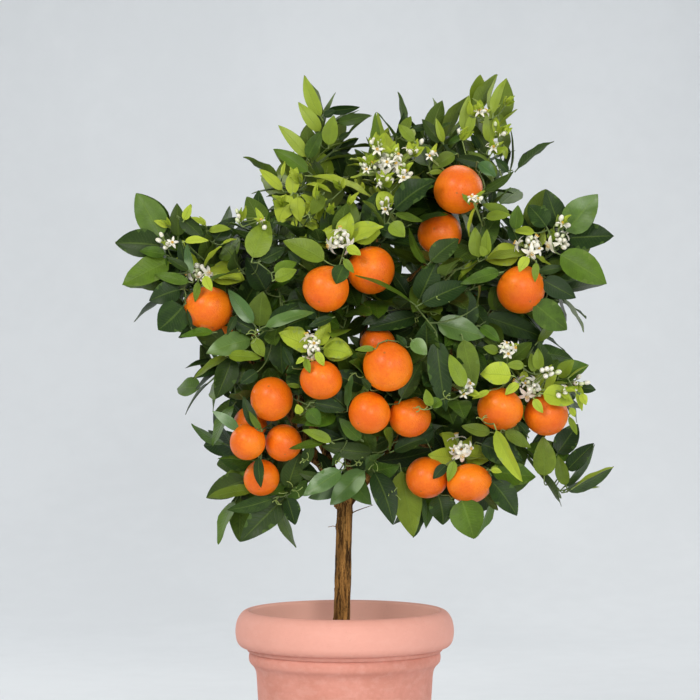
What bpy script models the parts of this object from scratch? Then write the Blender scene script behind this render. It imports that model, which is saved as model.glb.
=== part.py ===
"""A potted orange tree, trained as a small standard: a terracotta pot with soil, a bare trunk that
forks under a wide crown, leafy sprays, young shoots, blossom and oranges.

Metres, +Z up, -Y to the front. The origin is the middle of the pot's underside.
"""

import math
import random

import bmesh
import bpy
from mathutils import Vector
from mathutils.bvhtree import BVHTree

for item in list(bpy.data.objects):
    bpy.data.objects.remove(item)

# Clearance that every solid keeps from its neighbour.
GAP = 0.0003

# The pot: a rolled rim over a ring moulding and a plain tapering body.
POT_SIDES = 24
POT_HEIGHT = 0.270
POT_FLOOR = 0.012
SOIL_TOP = 0.225
RIM_CREST = 0.1358
DRAIN_RADIUS = 0.007
DRAIN_CIRCLE = 0.055
POT_OUTSIDE = [
    (0.1085, 0.0),
    (0.1211, 0.143),
    (0.1229, 0.170),
    (0.1237, 0.181),
    (0.1267, 0.1913),
    (0.1322, 0.1965),
    (0.1340, 0.2035),
    (0.1322, 0.2106),
    (0.1378, 0.2170),
]
RIM_OUTSIDE = [
    (0.1400, 0.2190),
    (0.1490, 0.2245),
    (0.1525, 0.2400),
    (0.1502, 0.2560),
    (0.1440, 0.2660),
]
POT_INSIDE = [
    (0.1316, 0.2655),
    (0.1300, 0.2400),
    (0.1145, 0.1900),
    (0.1010, POT_FLOOR),
]

# The trunk, upright in the soil and a little bowed above it.
TRUNK_FOOT = 0.165
TRUNK_X = -0.0052
TRUNK_RADIUS = 0.0105
FOOT_RADIUS = 0.0125
COLLAR_RADIUS = 0.0118
MAIN_LIMB = 0.006

# The photograph: a pixel spans 1.4 mm at the trunk, seen level from 3.5 m in front.
PIXEL = 0.0014
EYE = Vector((0.00735, -3.5, 0.6333))
MIDDLE = 350

# The crown and its leaves.
SEED = 7
CROWN_CENTRE = Vector((0.03, 0.0, 0.62))
CROWN_DEPTH = 0.85
LEAF_LENGTH = 0.066
LEAF_WIDTH = 0.029
LEAF_THICK = 0.0009
BARE_SHARE = 0.15
YOUNG_LENGTH = 0.044
YOUNG_WIDTH = 0.019
LEAF_SPACING = 0.0375
TWIG_RADIUS = 0.0021
YOUNG_RADII = (0.0016, 0.0013)
STUB_RADII = (0.0019, 0.0016)
STALK_RADIUS = 0.0016
STALK_END = 0.010
CALYX_RADIUS = 0.0048
CALYX_DEPTH = 0.0034
CLEARANCE = 0.0012
PETAL_LENGTH = 0.013
PETAL_SPREAD = 0.22
BLOOM_ROOM = 0.007
FLOWER_STALK = 0.015
FLOWER_TRIES = 24
FLOWER_TILTS = [math.radians(angle) for angle in (60, 45, 75, 90)]
BLOSSOM_STALK = 0.008
BLOSSOM_RADIUS = 0.0014
SQUARE_END = 0.006
LIMB_END = 0.0028
LIFT = 0.22
KEEL = 0.14
LEAF_STATIONS = ((0.36, 0.97), (0.68, 0.78))
KITE_STATIONS = ((0.46, 1.0),)
GOLDEN = math.radians(137.5)
SWINGS = [math.radians(angle) for angle in (0, 25, -25, 50, -50, 80, -80, 115, -115, 150)]
LEAF_START = 0.014
END_SPREAD = 0.35
SIDE_SPREAD = 1.15
OUTWARD = 0.35
ROOT_SUNK = 0.0006
AIM_TRIES = 14
AIM_LEANS = (0.0, 0.5, -0.5, 1.0)
FRUIT_SIDES = 10
FRUIT_RINGS = 4
HALF_HIDDEN = ("fruit_05", "fruit_10", "fruit_15")
SHOWN_SHARE = 0.95


def seen(across, down, depth):
    """The point that the photograph shows at this pixel, at this share of the crown's depth."""
    depth *= CROWN_DEPTH
    scale = PIXEL * (depth - EYE.y) / -EYE.y
    return Vector((EYE.x + (across - MIDDLE) * scale, depth, EYE.z - (down - MIDDLE) * scale))


def material(name, colour, roughness):
    made = bpy.data.materials.new(name)
    made.use_nodes = True
    shader = made.node_tree.nodes["Principled BSDF"]
    shader.inputs["Base Color"].default_value = (*colour, 1.0)
    shader.inputs["Roughness"].default_value = roughness
    shader.inputs["Metallic"].default_value = 0.0
    return made


def mesh_object(name, shape, finish):
    """An object in the scene from points and faces."""
    points, faces = shape
    mesh = bpy.data.meshes.new(name)
    mesh.from_pydata([tuple(point) for point in points], [], faces)
    if finish:
        mesh.materials.append(finish)
    made = bpy.data.objects.new(name, mesh)
    bpy.context.scene.collection.objects.link(made)
    return made


def turned(outline, sides):
    """A closed solid turned about Z from an outline that starts and ends on the axis."""
    points = [Vector((0, 0, outline[0][1]))]
    rings = outline[1:-1]
    for radius, height in rings:
        for k in range(sides):
            angle = 2 * math.pi * k / sides
            points.append(Vector((radius * math.cos(angle), radius * math.sin(angle), height)))
    points.append(Vector((0, 0, outline[-1][1])))
    last = len(points) - 1
    faces = []
    for k in range(sides):
        after = (k + 1) % sides
        faces.append((0, 1 + after, 1 + k))
        for ring in range(len(rings) - 1):
            low = 1 + ring * sides
            faces.append((low + k, low + after, low + sides + after, low + sides + k))
        top = 1 + (len(rings) - 1) * sides
        faces.append((top + k, top + after, last))
    return points, faces


def tube(path, radii, sides):
    """A closed tube round a path, its ends cut square."""
    points = []
    faces = []
    side = None
    for i, centre in enumerate(path):
        along = (path[min(i + 1, len(path) - 1)] - path[max(i - 1, 0)]).normalized()
        if side is None:
            side = along.orthogonal()
        side = (side - along * side.dot(along)).normalized()
        up = along.cross(side)
        for k in range(sides):
            angle = 2 * math.pi * k / sides
            points.append(centre + radii[i] * (math.cos(angle) * side + math.sin(angle) * up))
    for i in range(len(path) - 1):
        for k in range(sides):
            a = i * sides + k
            b = i * sides + (k + 1) % sides
            faces.append((a, b, b + sides, a + sides))
    faces.append(tuple(reversed(range(sides))))
    last = (len(path) - 1) * sides
    faces.append(tuple(range(last, last + sides)))
    return points, faces


def smooth_path(marks, steps):
    """A smooth curve through the marks, with this many steps from one to the next."""
    path = []
    for i in range(len(marks) - 1):
        before = marks[max(i - 1, 0)]
        start = marks[i]
        end = marks[i + 1]
        after = marks[min(i + 2, len(marks) - 1)]
        for k in range(steps):
            t = k / steps
            path.append(
                0.5
                * (
                    2 * start
                    + (end - before) * t
                    + (2 * before - 5 * start + 4 * end - after) * t**2
                    + (3 * start - before - 3 * end + after) * t**3
                )
            )
    path.append(marks[-1].copy())
    return path


def tapered(count, thick, thin):
    return [thick + (thin - thick) * i / (count - 1) for i in range(count)]


def boolean(base, operation, collection):
    """Joins or cuts a mesh with all of a collection, applies it, and removes the collection."""
    for solver in ("EXACT", "MANIFOLD"):
        step = base.modifiers.new(operation, "BOOLEAN")
        step.operation = operation
        step.operand_type = "COLLECTION"
        step.collection = collection
        step.solver = solver
        bpy.context.view_layer.update()
        graph = bpy.context.evaluated_depsgraph_get()
        made = bpy.data.meshes.new_from_object(base.evaluated_get(graph))
        base.modifiers.clear()
        if closed(made):
            break
    base.data = made
    for piece in list(collection.objects):
        bpy.data.objects.remove(piece)
    bpy.data.collections.remove(collection)


def closed(mesh):
    """Whether every edge of a mesh joins exactly two faces."""
    faces = bmesh.new()
    faces.from_mesh(mesh)
    whole = all(len(edge.link_faces) == 2 for edge in faces.edges)
    faces.free()
    return whole


def gathered(name, shapes):
    """A collection of one object for each shape."""
    group = bpy.data.collections.new(name)
    bpy.context.scene.collection.children.link(group)
    for number, shape in enumerate(shapes):
        piece = mesh_object(f"{name}_{number}", shape, None)
        bpy.context.scene.collection.objects.unlink(piece)
        group.objects.link(piece)
    return group


def fused(name, shapes, finish):
    """One solid from overlapping shapes, joined to the first by a Boolean union."""
    base = mesh_object(name, shapes[0], finish)
    if len(shapes) > 1:
        boolean(base, "UNION", gathered(name + "_pieces", shapes[1:]))
    base.data.shade_flat()
    return base


# What is already in place: owner, kind, lowest corner, highest corner and search tree.
placed = []


def corners(points):
    low = [min(point[axis] for point in points) for axis in range(3)]
    high = [max(point[axis] for point in points) for axis in range(3)]
    return low, high


def search_tree(shape):
    """The shape's triangles for a crossing test, in millimetres, where the test is finer."""
    points, faces = shape
    return BVHTree.FromPolygons([1000 * point for point in points], faces)


def put(owner, kind, shape):
    low, high = corners(shape[0])
    placed.append((owner, kind, low, high, search_tree(shape)))


def crosses(shape, owner, own):
    """Whether a shape cuts what is in place: its own node's pieces if own is true, else all others."""
    low, high = corners(shape[0])
    tree = None
    for other, kind, other_low, other_high, other_tree in placed:
        if (other == owner) != own:
            continue
        if any(low[i] > other_high[i] or high[i] < other_low[i] for i in range(3)):
            continue
        if tree is None:
            tree = search_tree(shape)
        if tree.overlap(other_tree):
            return other
    return None


# Fruits: pixel across and down, depth, radius across and along the stem in pixels, the way the
# stem end points, and the spray that carries the stalk.
FRUITS = {
    "fruit_01": (208.5, 309, -0.160, 24.5, 22.0, (-0.2, 0.45, 0.87), "spray_left"),
    "fruit_02": (326.0, 288.6, -0.250, 23.5, 23.0, (0.3, 0.75, 0.6), "spray_centre_upper"),
    "fruit_03": (371.0, 270, -0.200, 24.0, 24.0, (-0.5, 0.75, 0.45), "spray_centre_upper"),
    "fruit_04": (458.4, 189.5, -0.170, 24.5, 24.5, (0.1, 0.95, 0.2), "spray_top_right"),
    "fruit_05": (440.0, 234, -0.125, 22.0, 22.0, (0.3, 0.95, -0.2), "spray_upper_right"),
    "fruit_06": (521.4, 289.5, -0.160, 24.6, 22.0, (-0.35, 0.75, 0.56), "spray_right"),
    "fruit_07": (388.0, 366.5, -0.260, 25.0, 25.0, (0.15, 0.8, -0.55), "spray_centre"),
    "fruit_08": (369.5, 413, -0.235, 21.0, 21.0, (0.55, 0.7, 0.5), "spray_centre"),
    "fruit_09": (410.0, 416.5, -0.205, 21.0, 21.0, (-0.55, 0.45, 0.7), "spray_centre"),
    "fruit_10": (378.0, 345, -0.170, 18.0, 18.0, (-0.1, 0.9, 0.4), "spray_centre"),
    "fruit_11": (321.0, 380, -0.250, 21.4, 19.0, (0.1, 0.45, 0.88), "spray_centre"),
    "fruit_12": (271.5, 399.2, -0.205, 21.5, 22.5, (0.1, 0.8, -0.6), "spray_low_left"),
    "fruit_13": (247.5, 442, -0.200, 18.0, 18.0, (0.6, 0.6, 0.5), "spray_low_left"),
    "fruit_14": (283.5, 443, -0.175, 18.3, 18.3, (-0.1, 0.8, 0.6), "spray_low_left"),
    "fruit_15": (250.0, 424, -0.125, 17.0, 17.0, (0.9, 0.35, -0.3), "spray_low_left"),
    "fruit_16": (261.5, 478, -0.160, 18.0, 18.0, (0.1, 0.8, 0.6), "spray_low_left"),
    "fruit_17": (427.0, 477.7, -0.150, 21.0, 21.0, (0.3, 0.7, 0.6), "spray_low_right"),
    "fruit_18": (469.5, 483.5, -0.170, 22.5, 19.5, (-0.1, 0.5, 0.87), "spray_low_right"),
    "fruit_19": (500.5, 409, -0.180, 23.0, 20.5, (0.2, 0.6, 0.75), "spray_right_low"),
    "fruit_20": (546.5, 414.5, -0.150, 22.0, 21.0, (-0.1, 0.6, 0.75), "spray_right_low"),
    "fruit_21": (235.0, 335, 0.190, 23.0, 22.0, (0.3, -0.6, 0.75), "spray_back_left"),
    "fruit_22": (490.0, 305, 0.215, 24.0, 23.0, (-0.2, -0.65, 0.7), "spray_back_right"),
    "fruit_23": (405.0, 420, 0.215, 22.0, 21.0, (0.4, -0.6, 0.7), "spray_back_low_right"),
}

# Sprays: the marks that each shoot passes, as pixel across and down and depth. The first shoot
# starts at its limb and the others on it. Tips are those of leaves that the outline shows.
SPRAYS = {
    "spray_left": (
        [
            [
                (240, 292, -0.055), (222, 275, -0.075), (203, 260, -0.095), (184, 248, -0.11),
                (168, 237, -0.115),
            ],
            [(203, 260, -0.095), (192, 280, -0.115), (176, 293, -0.12)],
            [(222, 275, -0.075), (226, 250, -0.07), (232, 233, -0.065)],
            [(222, 275, -0.075), (205, 268, -0.03), (190, 262, 0.0)],
            [(222, 275, -0.075), (202, 290, -0.01), (183, 298, 0.05)],
            [(240, 292, -0.055), (224, 312, -0.04), (207, 326, -0.01)],
        ],
        [
            (136, 193, -0.10), (177, 203, -0.12), (191, 204, -0.09), (114.6, 242, -0.10),
            (122, 285, -0.11), (149, 301, -0.10), (158, 330, -0.10), (178, 338, -0.08),
            (236, 216.5, -0.09), (269, 221, -0.06),
        ],
    ),
    "spray_left_mid": (
        [
            [(245, 362, -0.075), (232, 362, -0.10), (218, 366, -0.115)],
            [(232, 362, -0.10), (235, 385, -0.125), (236, 402, -0.13)],
            [(232, 362, -0.10), (228, 338, -0.12), (232, 322, -0.125)],
            [(232, 362, -0.10), (216, 376, -0.04), (203, 388, 0.02)],
        ],
        [(193, 379, -0.12), (215, 400, -0.12), (200, 345, -0.10), (242, 330, -0.17)],
    ),
    "spray_low_left": (
        [
            [(283, 450, -0.08), (266, 462, -0.10), (250, 480, -0.105), (238, 497, -0.105)],
            [(266, 462, -0.10), (243, 455, -0.10), (228, 445, -0.095)],
            [(266, 462, -0.10), (272, 487, -0.085), (280, 503, -0.08)],
            [(283, 450, -0.08), (281, 431, -0.11), (268, 425, -0.155)],
            [(283, 450, -0.08), (264, 446, -0.03), (246, 442, 0.02)],
        ],
        [
            (206, 498, -0.10), (227, 510, -0.10), (240, 542, -0.10), (294.5, 525, -0.08),
            (213, 411.5, -0.10), (218, 458, -0.12), (208, 430, -0.07),
        ],
    ),
    "spray_upper_left": (
        [
            [(276, 275, -0.085), (272, 255, -0.11), (266, 235, -0.125), (262, 218, -0.13)],
            [(272, 255, -0.11), (252, 262, -0.145), (240, 272, -0.16)],
            [(272, 255, -0.11), (290, 240, -0.15), (302, 228, -0.165)],
            [(276, 275, -0.085), (282, 300, -0.15), (280, 325, -0.18)],
        ],
        [(258, 190, -0.12), (285, 205, -0.15), (245, 245, -0.17), (262, 350, -0.20)],
    ),
    "spray_top_left": (
        [
            [
                (332, 225, -0.02), (326, 195, -0.03), (312, 168, -0.035), (321, 140, -0.035),
                (323, 116, -0.035),
            ],
            [(326, 195, -0.03), (302, 192, -0.05), (280, 182, -0.055)],
            [(312, 168, -0.035), (333, 152, -0.01), (345, 140, 0.01)],
            [(326, 195, -0.03), (320, 180, 0.02), (312, 170, 0.05)],
            [(332, 225, -0.02), (308, 215, 0.02), (288, 208, 0.06)],
        ],
        [
            (304, 75, -0.035), (360, 107, -0.02), (372, 115, 0.0), (298, 102, -0.05),
            (278, 126, -0.04), (358, 138, -0.03), (273, 149, -0.05), (258, 170, -0.06),
            (251, 194, -0.05), (336, 92, -0.03),
        ],
    ),
    "spray_top_centre": (
        [
            [(385, 222, -0.005), (395, 195, -0.01), (398, 165, -0.012), (402, 135, -0.012)],
            [(395, 195, -0.01), (420, 170, 0.0), (430, 140, 0.0)],
            [(395, 195, -0.01), (375, 170, -0.03), (372, 142, -0.035)],
            [(385, 222, -0.005), (392, 207, -0.05), (393, 192, -0.085)],
            [(395, 195, -0.01), (402, 178, 0.04), (407, 160, 0.08)],
        ],
        [
            (402.5, 113, -0.01), (411, 116, 0.01), (376, 112, -0.04), (422, 119, 0.0),
            (439, 106, 0.0), (436, 119, -0.02),
        ],
    ),
    "spray_top_right": (
        [
            [(455, 225, 0.0), (470, 190, 0.0), (484, 155, 0.0), (494, 122, 0.0)],
            [(470, 190, 0.0), (495, 180, -0.02), (515, 172, -0.02)],
            [(484, 155, 0.0), (476, 130, 0.01), (474, 112, 0.012)],
            [(470, 190, 0.0), (447, 165, 0.01), (442, 138, 0.012)],
            [(455, 225, 0.0), (477, 212, 0.04), (498, 206, 0.08)],
        ],
        [
            (497, 74, 0.0), (506.5, 78, 0.01), (512, 97, -0.01), (517, 109, 0.0),
            (510, 127, -0.02), (476.5, 79, 0.01), (469, 95.5, 0.0), (533, 165, -0.02),
            (514, 194, -0.03), (455, 108, 0.0),
        ],
    ),
    "spray_upper_right": (
        [
            [(466, 285, -0.09), (470, 265, -0.12), (476, 245, -0.135), (482, 226, -0.14)],
            [(470, 265, -0.12), (448, 272, -0.16), (430, 284, -0.18)],
            [(466, 285, -0.09), (462, 315, -0.15), (455, 337, -0.18)],
        ],
        [(500, 215, -0.12), (410, 300, -0.19), (437, 352, -0.2), (478, 352, -0.17), (455, 262, -0.2)],
    ),
    "spray_right": (
        [
            [
                (500, 300, -0.055), (517, 282, -0.075), (534, 267, -0.095), (551, 254, -0.11),
                (566, 243, -0.115),
            ],
            [(534, 267, -0.095), (550, 283, -0.11), (560, 297, -0.11)],
            [(517, 282, -0.075), (520, 252, -0.075), (524, 230, -0.07)],
            [(517, 282, -0.075), (535, 275, -0.03), (550, 268, 0.0)],
            [(517, 282, -0.075), (538, 290, -0.01), (556, 300, 0.05)],
            [(500, 300, -0.055), (518, 318, -0.04), (533, 332, -0.01)],
        ],
        [
            (546, 189, -0.12), (597, 194, -0.10), (614.4, 236, -0.10), (606, 284, -0.11),
            (576, 299, -0.10), (566, 330, -0.10), (545, 338, -0.08), (529, 204.5, -0.09),
            (500, 222, -0.06),
        ],
    ),
    "spray_right_low": (
        [
            [(492, 385, -0.06), (515, 380, -0.085), (540, 380, -0.095), (562, 385, -0.10)],
            [
                (492, 385, -0.06), (505, 415, -0.07), (517, 444, -0.085), (540, 475, -0.09),
                (562, 493, -0.09),
            ],
            [(515, 380, -0.085), (525, 360, -0.10), (535, 345, -0.105)],
            [(515, 380, -0.085), (532, 392, -0.03), (550, 398, 0.03)],
            [(492, 385, -0.06), (505, 362, -0.02), (520, 350, 0.03)],
        ],
        [
            (614, 466, -0.09), (599, 487, -0.09), (595, 444, -0.08), (546, 475, -0.12),
            (577, 423, -0.06), (596, 390, -0.11), (589, 365, -0.10), (574, 360, -0.08),
            (587, 405, -0.09),
        ],
    ),
    "spray_low_right": (
        [
            [(435, 452, -0.07), (452, 468, -0.09), (474, 486, -0.095), (498, 497, -0.10)],
            [(435, 452, -0.07), (425, 480, -0.075), (415, 505, -0.08)],
            [(452, 468, -0.09), (460, 498, -0.09), (466, 513, -0.09)],
            [(435, 452, -0.07), (458, 452, -0.03), (482, 455, 0.02)],
        ],
        [
            (393, 525, -0.08), (413, 538, -0.09), (443, 525, -0.08), (473, 539, -0.09),
            (516, 516, -0.10), (530, 481, -0.10),
        ],
    ),
    "spray_centre": (
        [
            [(362, 375, -0.115), (376, 384, -0.15), (392, 392, -0.185)],
            [(362, 375, -0.115), (345, 360, -0.16), (330, 351, -0.20)],
            [(376, 384, -0.15), (405, 377, -0.17), (430, 373, -0.19)],
            [(376, 384, -0.15), (353, 396, -0.18), (336, 411, -0.20)],
        ],
        [(440, 395, -0.20), (455, 365, -0.19), (308, 415, -0.21), (345, 440, -0.21)],
    ),
    "spray_centre_upper": (
        [
            [(350, 292, -0.10), (349, 275, -0.135), (347, 258, -0.165), (344, 240, -0.18)],
            [(349, 275, -0.135), (325, 262, -0.16), (305, 256, -0.18)],
            [(349, 275, -0.135), (385, 235, -0.15), (408, 226, -0.16)],
            [(350, 292, -0.10), (348, 315, -0.16), (343, 330, -0.19)],
            [(350, 292, -0.10), (395, 310, -0.16), (418, 308, -0.18)],
        ],
        [(409, 302, -0.24), (300, 315, -0.23), (425, 250, -0.17), (290, 270, -0.2), (340, 205, -0.17)],
    ),
    "spray_low_centre": (
        [
            [(345, 462, -0.075), (345, 474, -0.10), (343, 484, -0.12)],
            [(345, 474, -0.10), (325, 475, -0.115), (312, 480, -0.12)],
            [(345, 474, -0.10), (372, 470, -0.12), (386, 472, -0.125)],
        ],
        [(330, 505, -0.13), (308, 498, -0.13), (372, 505, -0.12), (400, 465, -0.16), (352, 445, -0.17)],
    ),
    "spray_back_left": (
        [
            [(262, 300, 0.15), (245, 278, 0.165), (228, 258, 0.17), (210, 245, 0.165)],
            [(245, 278, 0.165), (262, 250, 0.19), (275, 225, 0.195)],
            [(245, 278, 0.165), (225, 290, 0.13), (200, 295, 0.10)],
            [(245, 278, 0.165), (270, 290, 0.215), (290, 297, 0.24)],
            [(262, 300, 0.15), (240, 312, 0.13), (214, 322, 0.10)],
            [(228, 258, 0.17), (214, 268, 0.21), (205, 280, 0.235)],
        ],
        [],
    ),
    "spray_back_low_left": (
        [
            [(275, 400, 0.14), (255, 405, 0.155), (235, 415, 0.15)],
            [(255, 405, 0.155), (262, 385, 0.19), (275, 365, 0.225)],
            [(255, 405, 0.155), (255, 430, 0.15), (250, 455, 0.14)],
            [(255, 405, 0.155), (285, 420, 0.19), (310, 428, 0.22)],
            [(255, 405, 0.155), (290, 398, 0.20), (322, 380, 0.23), (340, 358, 0.24)],
            [(275, 400, 0.14), (258, 428, 0.09), (242, 442, 0.06)],
        ],
        [],
    ),
    "spray_back_right": (
        [
            [(440, 300, 0.15), (462, 280, 0.165), (485, 262, 0.17), (507, 250, 0.165)],
            [(462, 280, 0.165), (450, 250, 0.195), (440, 222, 0.20)],
            [(462, 280, 0.165), (490, 290, 0.13), (520, 300, 0.10)],
            [(462, 280, 0.165), (435, 290, 0.22), (415, 302, 0.245)],
            [(440, 300, 0.15), (468, 316, 0.13), (495, 330, 0.10)],
            [(485, 262, 0.17), (502, 272, 0.21), (512, 285, 0.235)],
        ],
        [],
    ),
    "spray_back_low_right": (
        [
            [(425, 400, 0.14), (450, 405, 0.155), (475, 413, 0.15)],
            [(450, 405, 0.155), (440, 380, 0.19), (425, 362, 0.225)],
            [(450, 405, 0.155), (458, 435, 0.15), (468, 460, 0.14)],
            [(450, 405, 0.155), (420, 425, 0.16), (390, 440, 0.18)],
            [(425, 400, 0.14), (452, 392, 0.10), (478, 385, 0.07)],
        ],
        [],
    ),
    "spray_back_top": (
        [
            [(372, 225, 0.10), (372, 205, 0.13), (375, 180, 0.15)],
            [(372, 205, 0.13), (345, 195, 0.15), (322, 190, 0.155)],
            [(372, 205, 0.13), (400, 195, 0.155), (427, 185, 0.16)],
            [(372, 205, 0.13), (368, 228, 0.18), (366, 255, 0.215), (364, 285, 0.23)],
            [(372, 205, 0.13), (352, 222, 0.19), (335, 240, 0.22)],
            [(372, 205, 0.13), (396, 222, 0.19), (412, 242, 0.22)],
        ],
        [],
    ),
}

# Limbs: the spray that a limb ends in, its radius at its start, and the marks on its way there.
LIMBS = [
    (
        "spray_left", 0.0085,
        [(343, 508, 0), (325, 470, -0.015), (296, 425, -0.03), (268, 370, -0.045), (250, 320, -0.05)],
    ),
    ("spray_left_mid", 0.0040, [(268, 370, -0.045)]),
    ("spray_low_left", 0.0050, [(325, 470, -0.015), (303, 454, -0.05)]),
    ("spray_upper_left", 0.0045, [(268, 370, -0.045), (275, 315, -0.07)]),
    (
        "spray_right", 0.0085,
        [(345, 506, 0), (368, 477, -0.005), (400, 440, -0.02), (440, 390, -0.035), (478, 335, -0.045)],
    ),
    ("spray_right_low", 0.0045, [(440, 390, -0.035), (470, 387, -0.05)]),
    ("spray_low_right", 0.0045, [(400, 440, -0.02), (420, 444, -0.05)]),
    ("spray_upper_right", 0.0045, [(440, 390, -0.035), (460, 330, -0.06)]),
    (
        "spray_top_centre", 0.0080,
        [(344, 503, 0.004), (352, 450, 0.01), (358, 390, 0.012), (365, 320, 0.008), (374, 260, 0)],
    ),
    ("spray_top_left", 0.0045, [(365, 320, 0.008), (345, 265, -0.01)]),
    ("spray_top_right", 0.0045, [(365, 320, 0.008), (425, 265, 0.0)]),
    (
        "spray_centre", 0.0065,
        [(345, 500, -0.004), (350, 470, -0.035), (356, 430, -0.07), (360, 398, -0.095)],
    ),
    ("spray_low_centre", 0.0038, [(350, 470, -0.035), (347, 463, -0.055)]),
    ("spray_centre_upper", 0.0045, [(365, 320, 0.008), (356, 305, -0.055)]),
    (
        "spray_back_left", 0.0070,
        [(344, 500, 0.004), (325, 450, 0.06), (295, 390, 0.11), (272, 330, 0.14)],
    ),
    ("spray_back_low_left", 0.0040, [(295, 390, 0.11)]),
    (
        "spray_back_right", 0.0070,
        [(345, 498, 0.004), (368, 450, 0.06), (400, 390, 0.11), (428, 330, 0.14)],
    ),
    ("spray_back_low_right", 0.0040, [(400, 390, 0.11)]),
    ("spray_back_top", 0.0042, [(365, 320, 0.008), (370, 262, 0.065)]),
]

# Young shoots: the spray that carries each, its marks and the tips of its pale leaves.
YOUNG = {
    "young_left": (
        "spray_left",
        [(206, 266, -0.118), (203, 268, -0.132), (201, 273, -0.148)],
        [(245, 280, -0.15), (165, 262, -0.14), (182, 240, -0.15), (222, 246, -0.15)],
    ),
    "young_upper": (
        "spray_centre_upper",
        [(344, 250, -0.192), (342, 247, -0.207), (341, 244, -0.222)],
        [(384, 227, -0.22), (316, 247, -0.22), (350, 212, -0.21), (325, 228, -0.2)],
    ),
    "young_centre": (
        "spray_centre",
        [(326, 350, -0.212), (321, 349, -0.226), (316, 348, -0.240)],
        [(278, 333, -0.24), (352, 355, -0.25), (305, 322, -0.24), (330, 322, -0.23)],
    ),
    "young_top": (
        "spray_top_centre",
        [(392, 186, -0.100), (391, 180, -0.117), (389, 172, -0.135)],
        [
            (360, 150, -0.13), (420, 150, -0.13), (350, 178, -0.13), (425, 180, -0.12),
            (385, 132, -0.12), (404, 140, -0.11),
        ],
    ),
    "young_right": (
        "spray_right",
        [(532, 263, -0.118), (530, 259, -0.134), (529, 252, -0.150)],
        [(485, 260, -0.15), (552, 268, -0.15), (512, 232, -0.14), (545, 228, -0.14)],
    ),
    "young_right_low": (
        "spray_right_low",
        [(528, 388, -0.118), (528, 389, -0.136), (527, 388, -0.154)],
        [(480, 373, -0.16), (575, 405, -0.15), (505, 362, -0.15), (558, 372, -0.14), (512, 400, -0.17)],
    ),
    "young_low": (
        "spray_low_right",
        [(456, 460, -0.130), (457, 457, -0.145), (458, 452, -0.158)],
        [(492, 457, -0.16), (428, 455, -0.16), (442, 432, -0.15), (472, 436, -0.14)],
    ),
}

# Blossom: what carries each cluster, the marks of its stalk, and how many flowers it holds.
BLOSSOM = {
    "blossom_left": ("young_left", [(201, 273, -0.148), (201, 272, -0.156)], 3),
    "blossom_upper": ("young_upper", [(341, 244, -0.222), (341, 243, -0.230)], 3),
    "blossom_centre": ("young_centre", [(316, 348, -0.240), (314, 347, -0.248)], 2),
    "blossom_top": ("young_top", [(389, 172, -0.135), (388, 170, -0.143)], 4),
    "blossom_right": ("young_right", [(529, 252, -0.150), (529, 250, -0.158)], 3),
    "blossom_right_low": ("young_right_low", [(527, 388, -0.154), (527, 387, -0.162)], 3),
    "blossom_low": ("young_low", [(458, 452, -0.158), (458, 450, -0.166)], 2),
    "blossom_right_outer": ("spray_right", [(556, 245, -0.128), (557, 242, -0.138)], 2),
}


def places(marks):
    return [seen(*mark) for mark in marks]


def fruit_place(name):
    """A fruit's centre, radius across, radius along its stem, and the way its stem end points."""
    across, down, depth, wide, tall, stem, _ = FRUITS[name]
    centre = seen(across, down, depth)
    scale = PIXEL * (centre.y - EYE.y) / -EYE.y
    return centre, wide * scale, tall * scale, Vector(stem).normalized()


def fruit_shape(centre, wide, tall, stem):
    """An orange turned about its stem, a little flatter at the stem end."""
    side = stem.orthogonal().normalized()
    other = stem.cross(side)
    points = [centre + tall * stem]
    for ring in range(1, FRUIT_RINGS + 1):
        angle = math.pi * ring / (FRUIT_RINGS + 1)
        for k in range(FRUIT_SIDES):
            turn = 2 * math.pi * k / FRUIT_SIDES
            out = math.cos(turn) * side + math.sin(turn) * other
            points.append(centre + wide * math.sin(angle) * out + tall * math.cos(angle) * stem)
    points.append(centre - tall * stem)
    faces = []
    for k in range(FRUIT_SIDES):
        after = (k + 1) % FRUIT_SIDES
        faces.append((0, 1 + k, 1 + after))
        for ring in range(FRUIT_RINGS - 1):
            a = 1 + ring * FRUIT_SIDES
            b = a + FRUIT_SIDES
            faces.append((a + k, b + k, b + after, a + after))
        low = 1 + (FRUIT_RINGS - 1) * FRUIT_SIDES
        faces.append((low + k, len(points) - 1, low + after))
    return points, faces


def blade(root, along, up, length, width, stations):
    """A leaf with a keel under its midrib and an arch from root to tip.

    Each station is its place along the length and its share of half the width.
    """
    side = along.cross(up).normalized()
    up = side.cross(along)
    points = [root]
    for place, share in stations:
        middle = root + length * (place * along + LIFT * (place - place**2) * up)
        half = share * width / 2
        points.append(middle - half * side + KEEL * half * up)
        points.append(middle + half * side + KEEL * half * up)
        points.append(middle - LEAF_THICK * up)
    points.append(root + length * along)
    faces = [(0, 2, 1), (0, 1, 3), (0, 3, 2)]
    for i in range(len(stations) - 1):
        left, right, under, left_next, right_next, under_next = range(3 * i + 1, 3 * i + 7)
        faces.append((left, right, right_next, left_next))
        faces += [(left, under_next, under), (left, left_next, under_next)]
        faces += [(right, under, under_next), (right, under_next, right_next)]
    tip = len(points) - 1
    left, right, under = range(tip - 3, tip)
    faces += [(left, right, tip), (left, tip, under), (right, under, tip)]
    return points, faces


def in_a_fruit(points):
    for name in FRUITS:
        centre, wide, tall, _ = fruit_place(name)
        if any((point - centre).length < max(wide, tall) + CLEARANCE for point in points):
            return True
    return False


def hides_a_fruit(points):
    """Whether a leaf would stand before a fruit that the photograph shows whole."""
    for name in FRUITS:
        if name in HALF_HIDDEN:
            continue
        centre, wide, tall, _ = fruit_place(name)
        for point in points:
            if point.y < centre.y:
                at = EYE + (point - EYE) * (centre.y - EYE.y) / (point.y - EYE.y)
                if (at - centre).length < SHOWN_SHARE * wide:
                    return True
    return False


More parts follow.
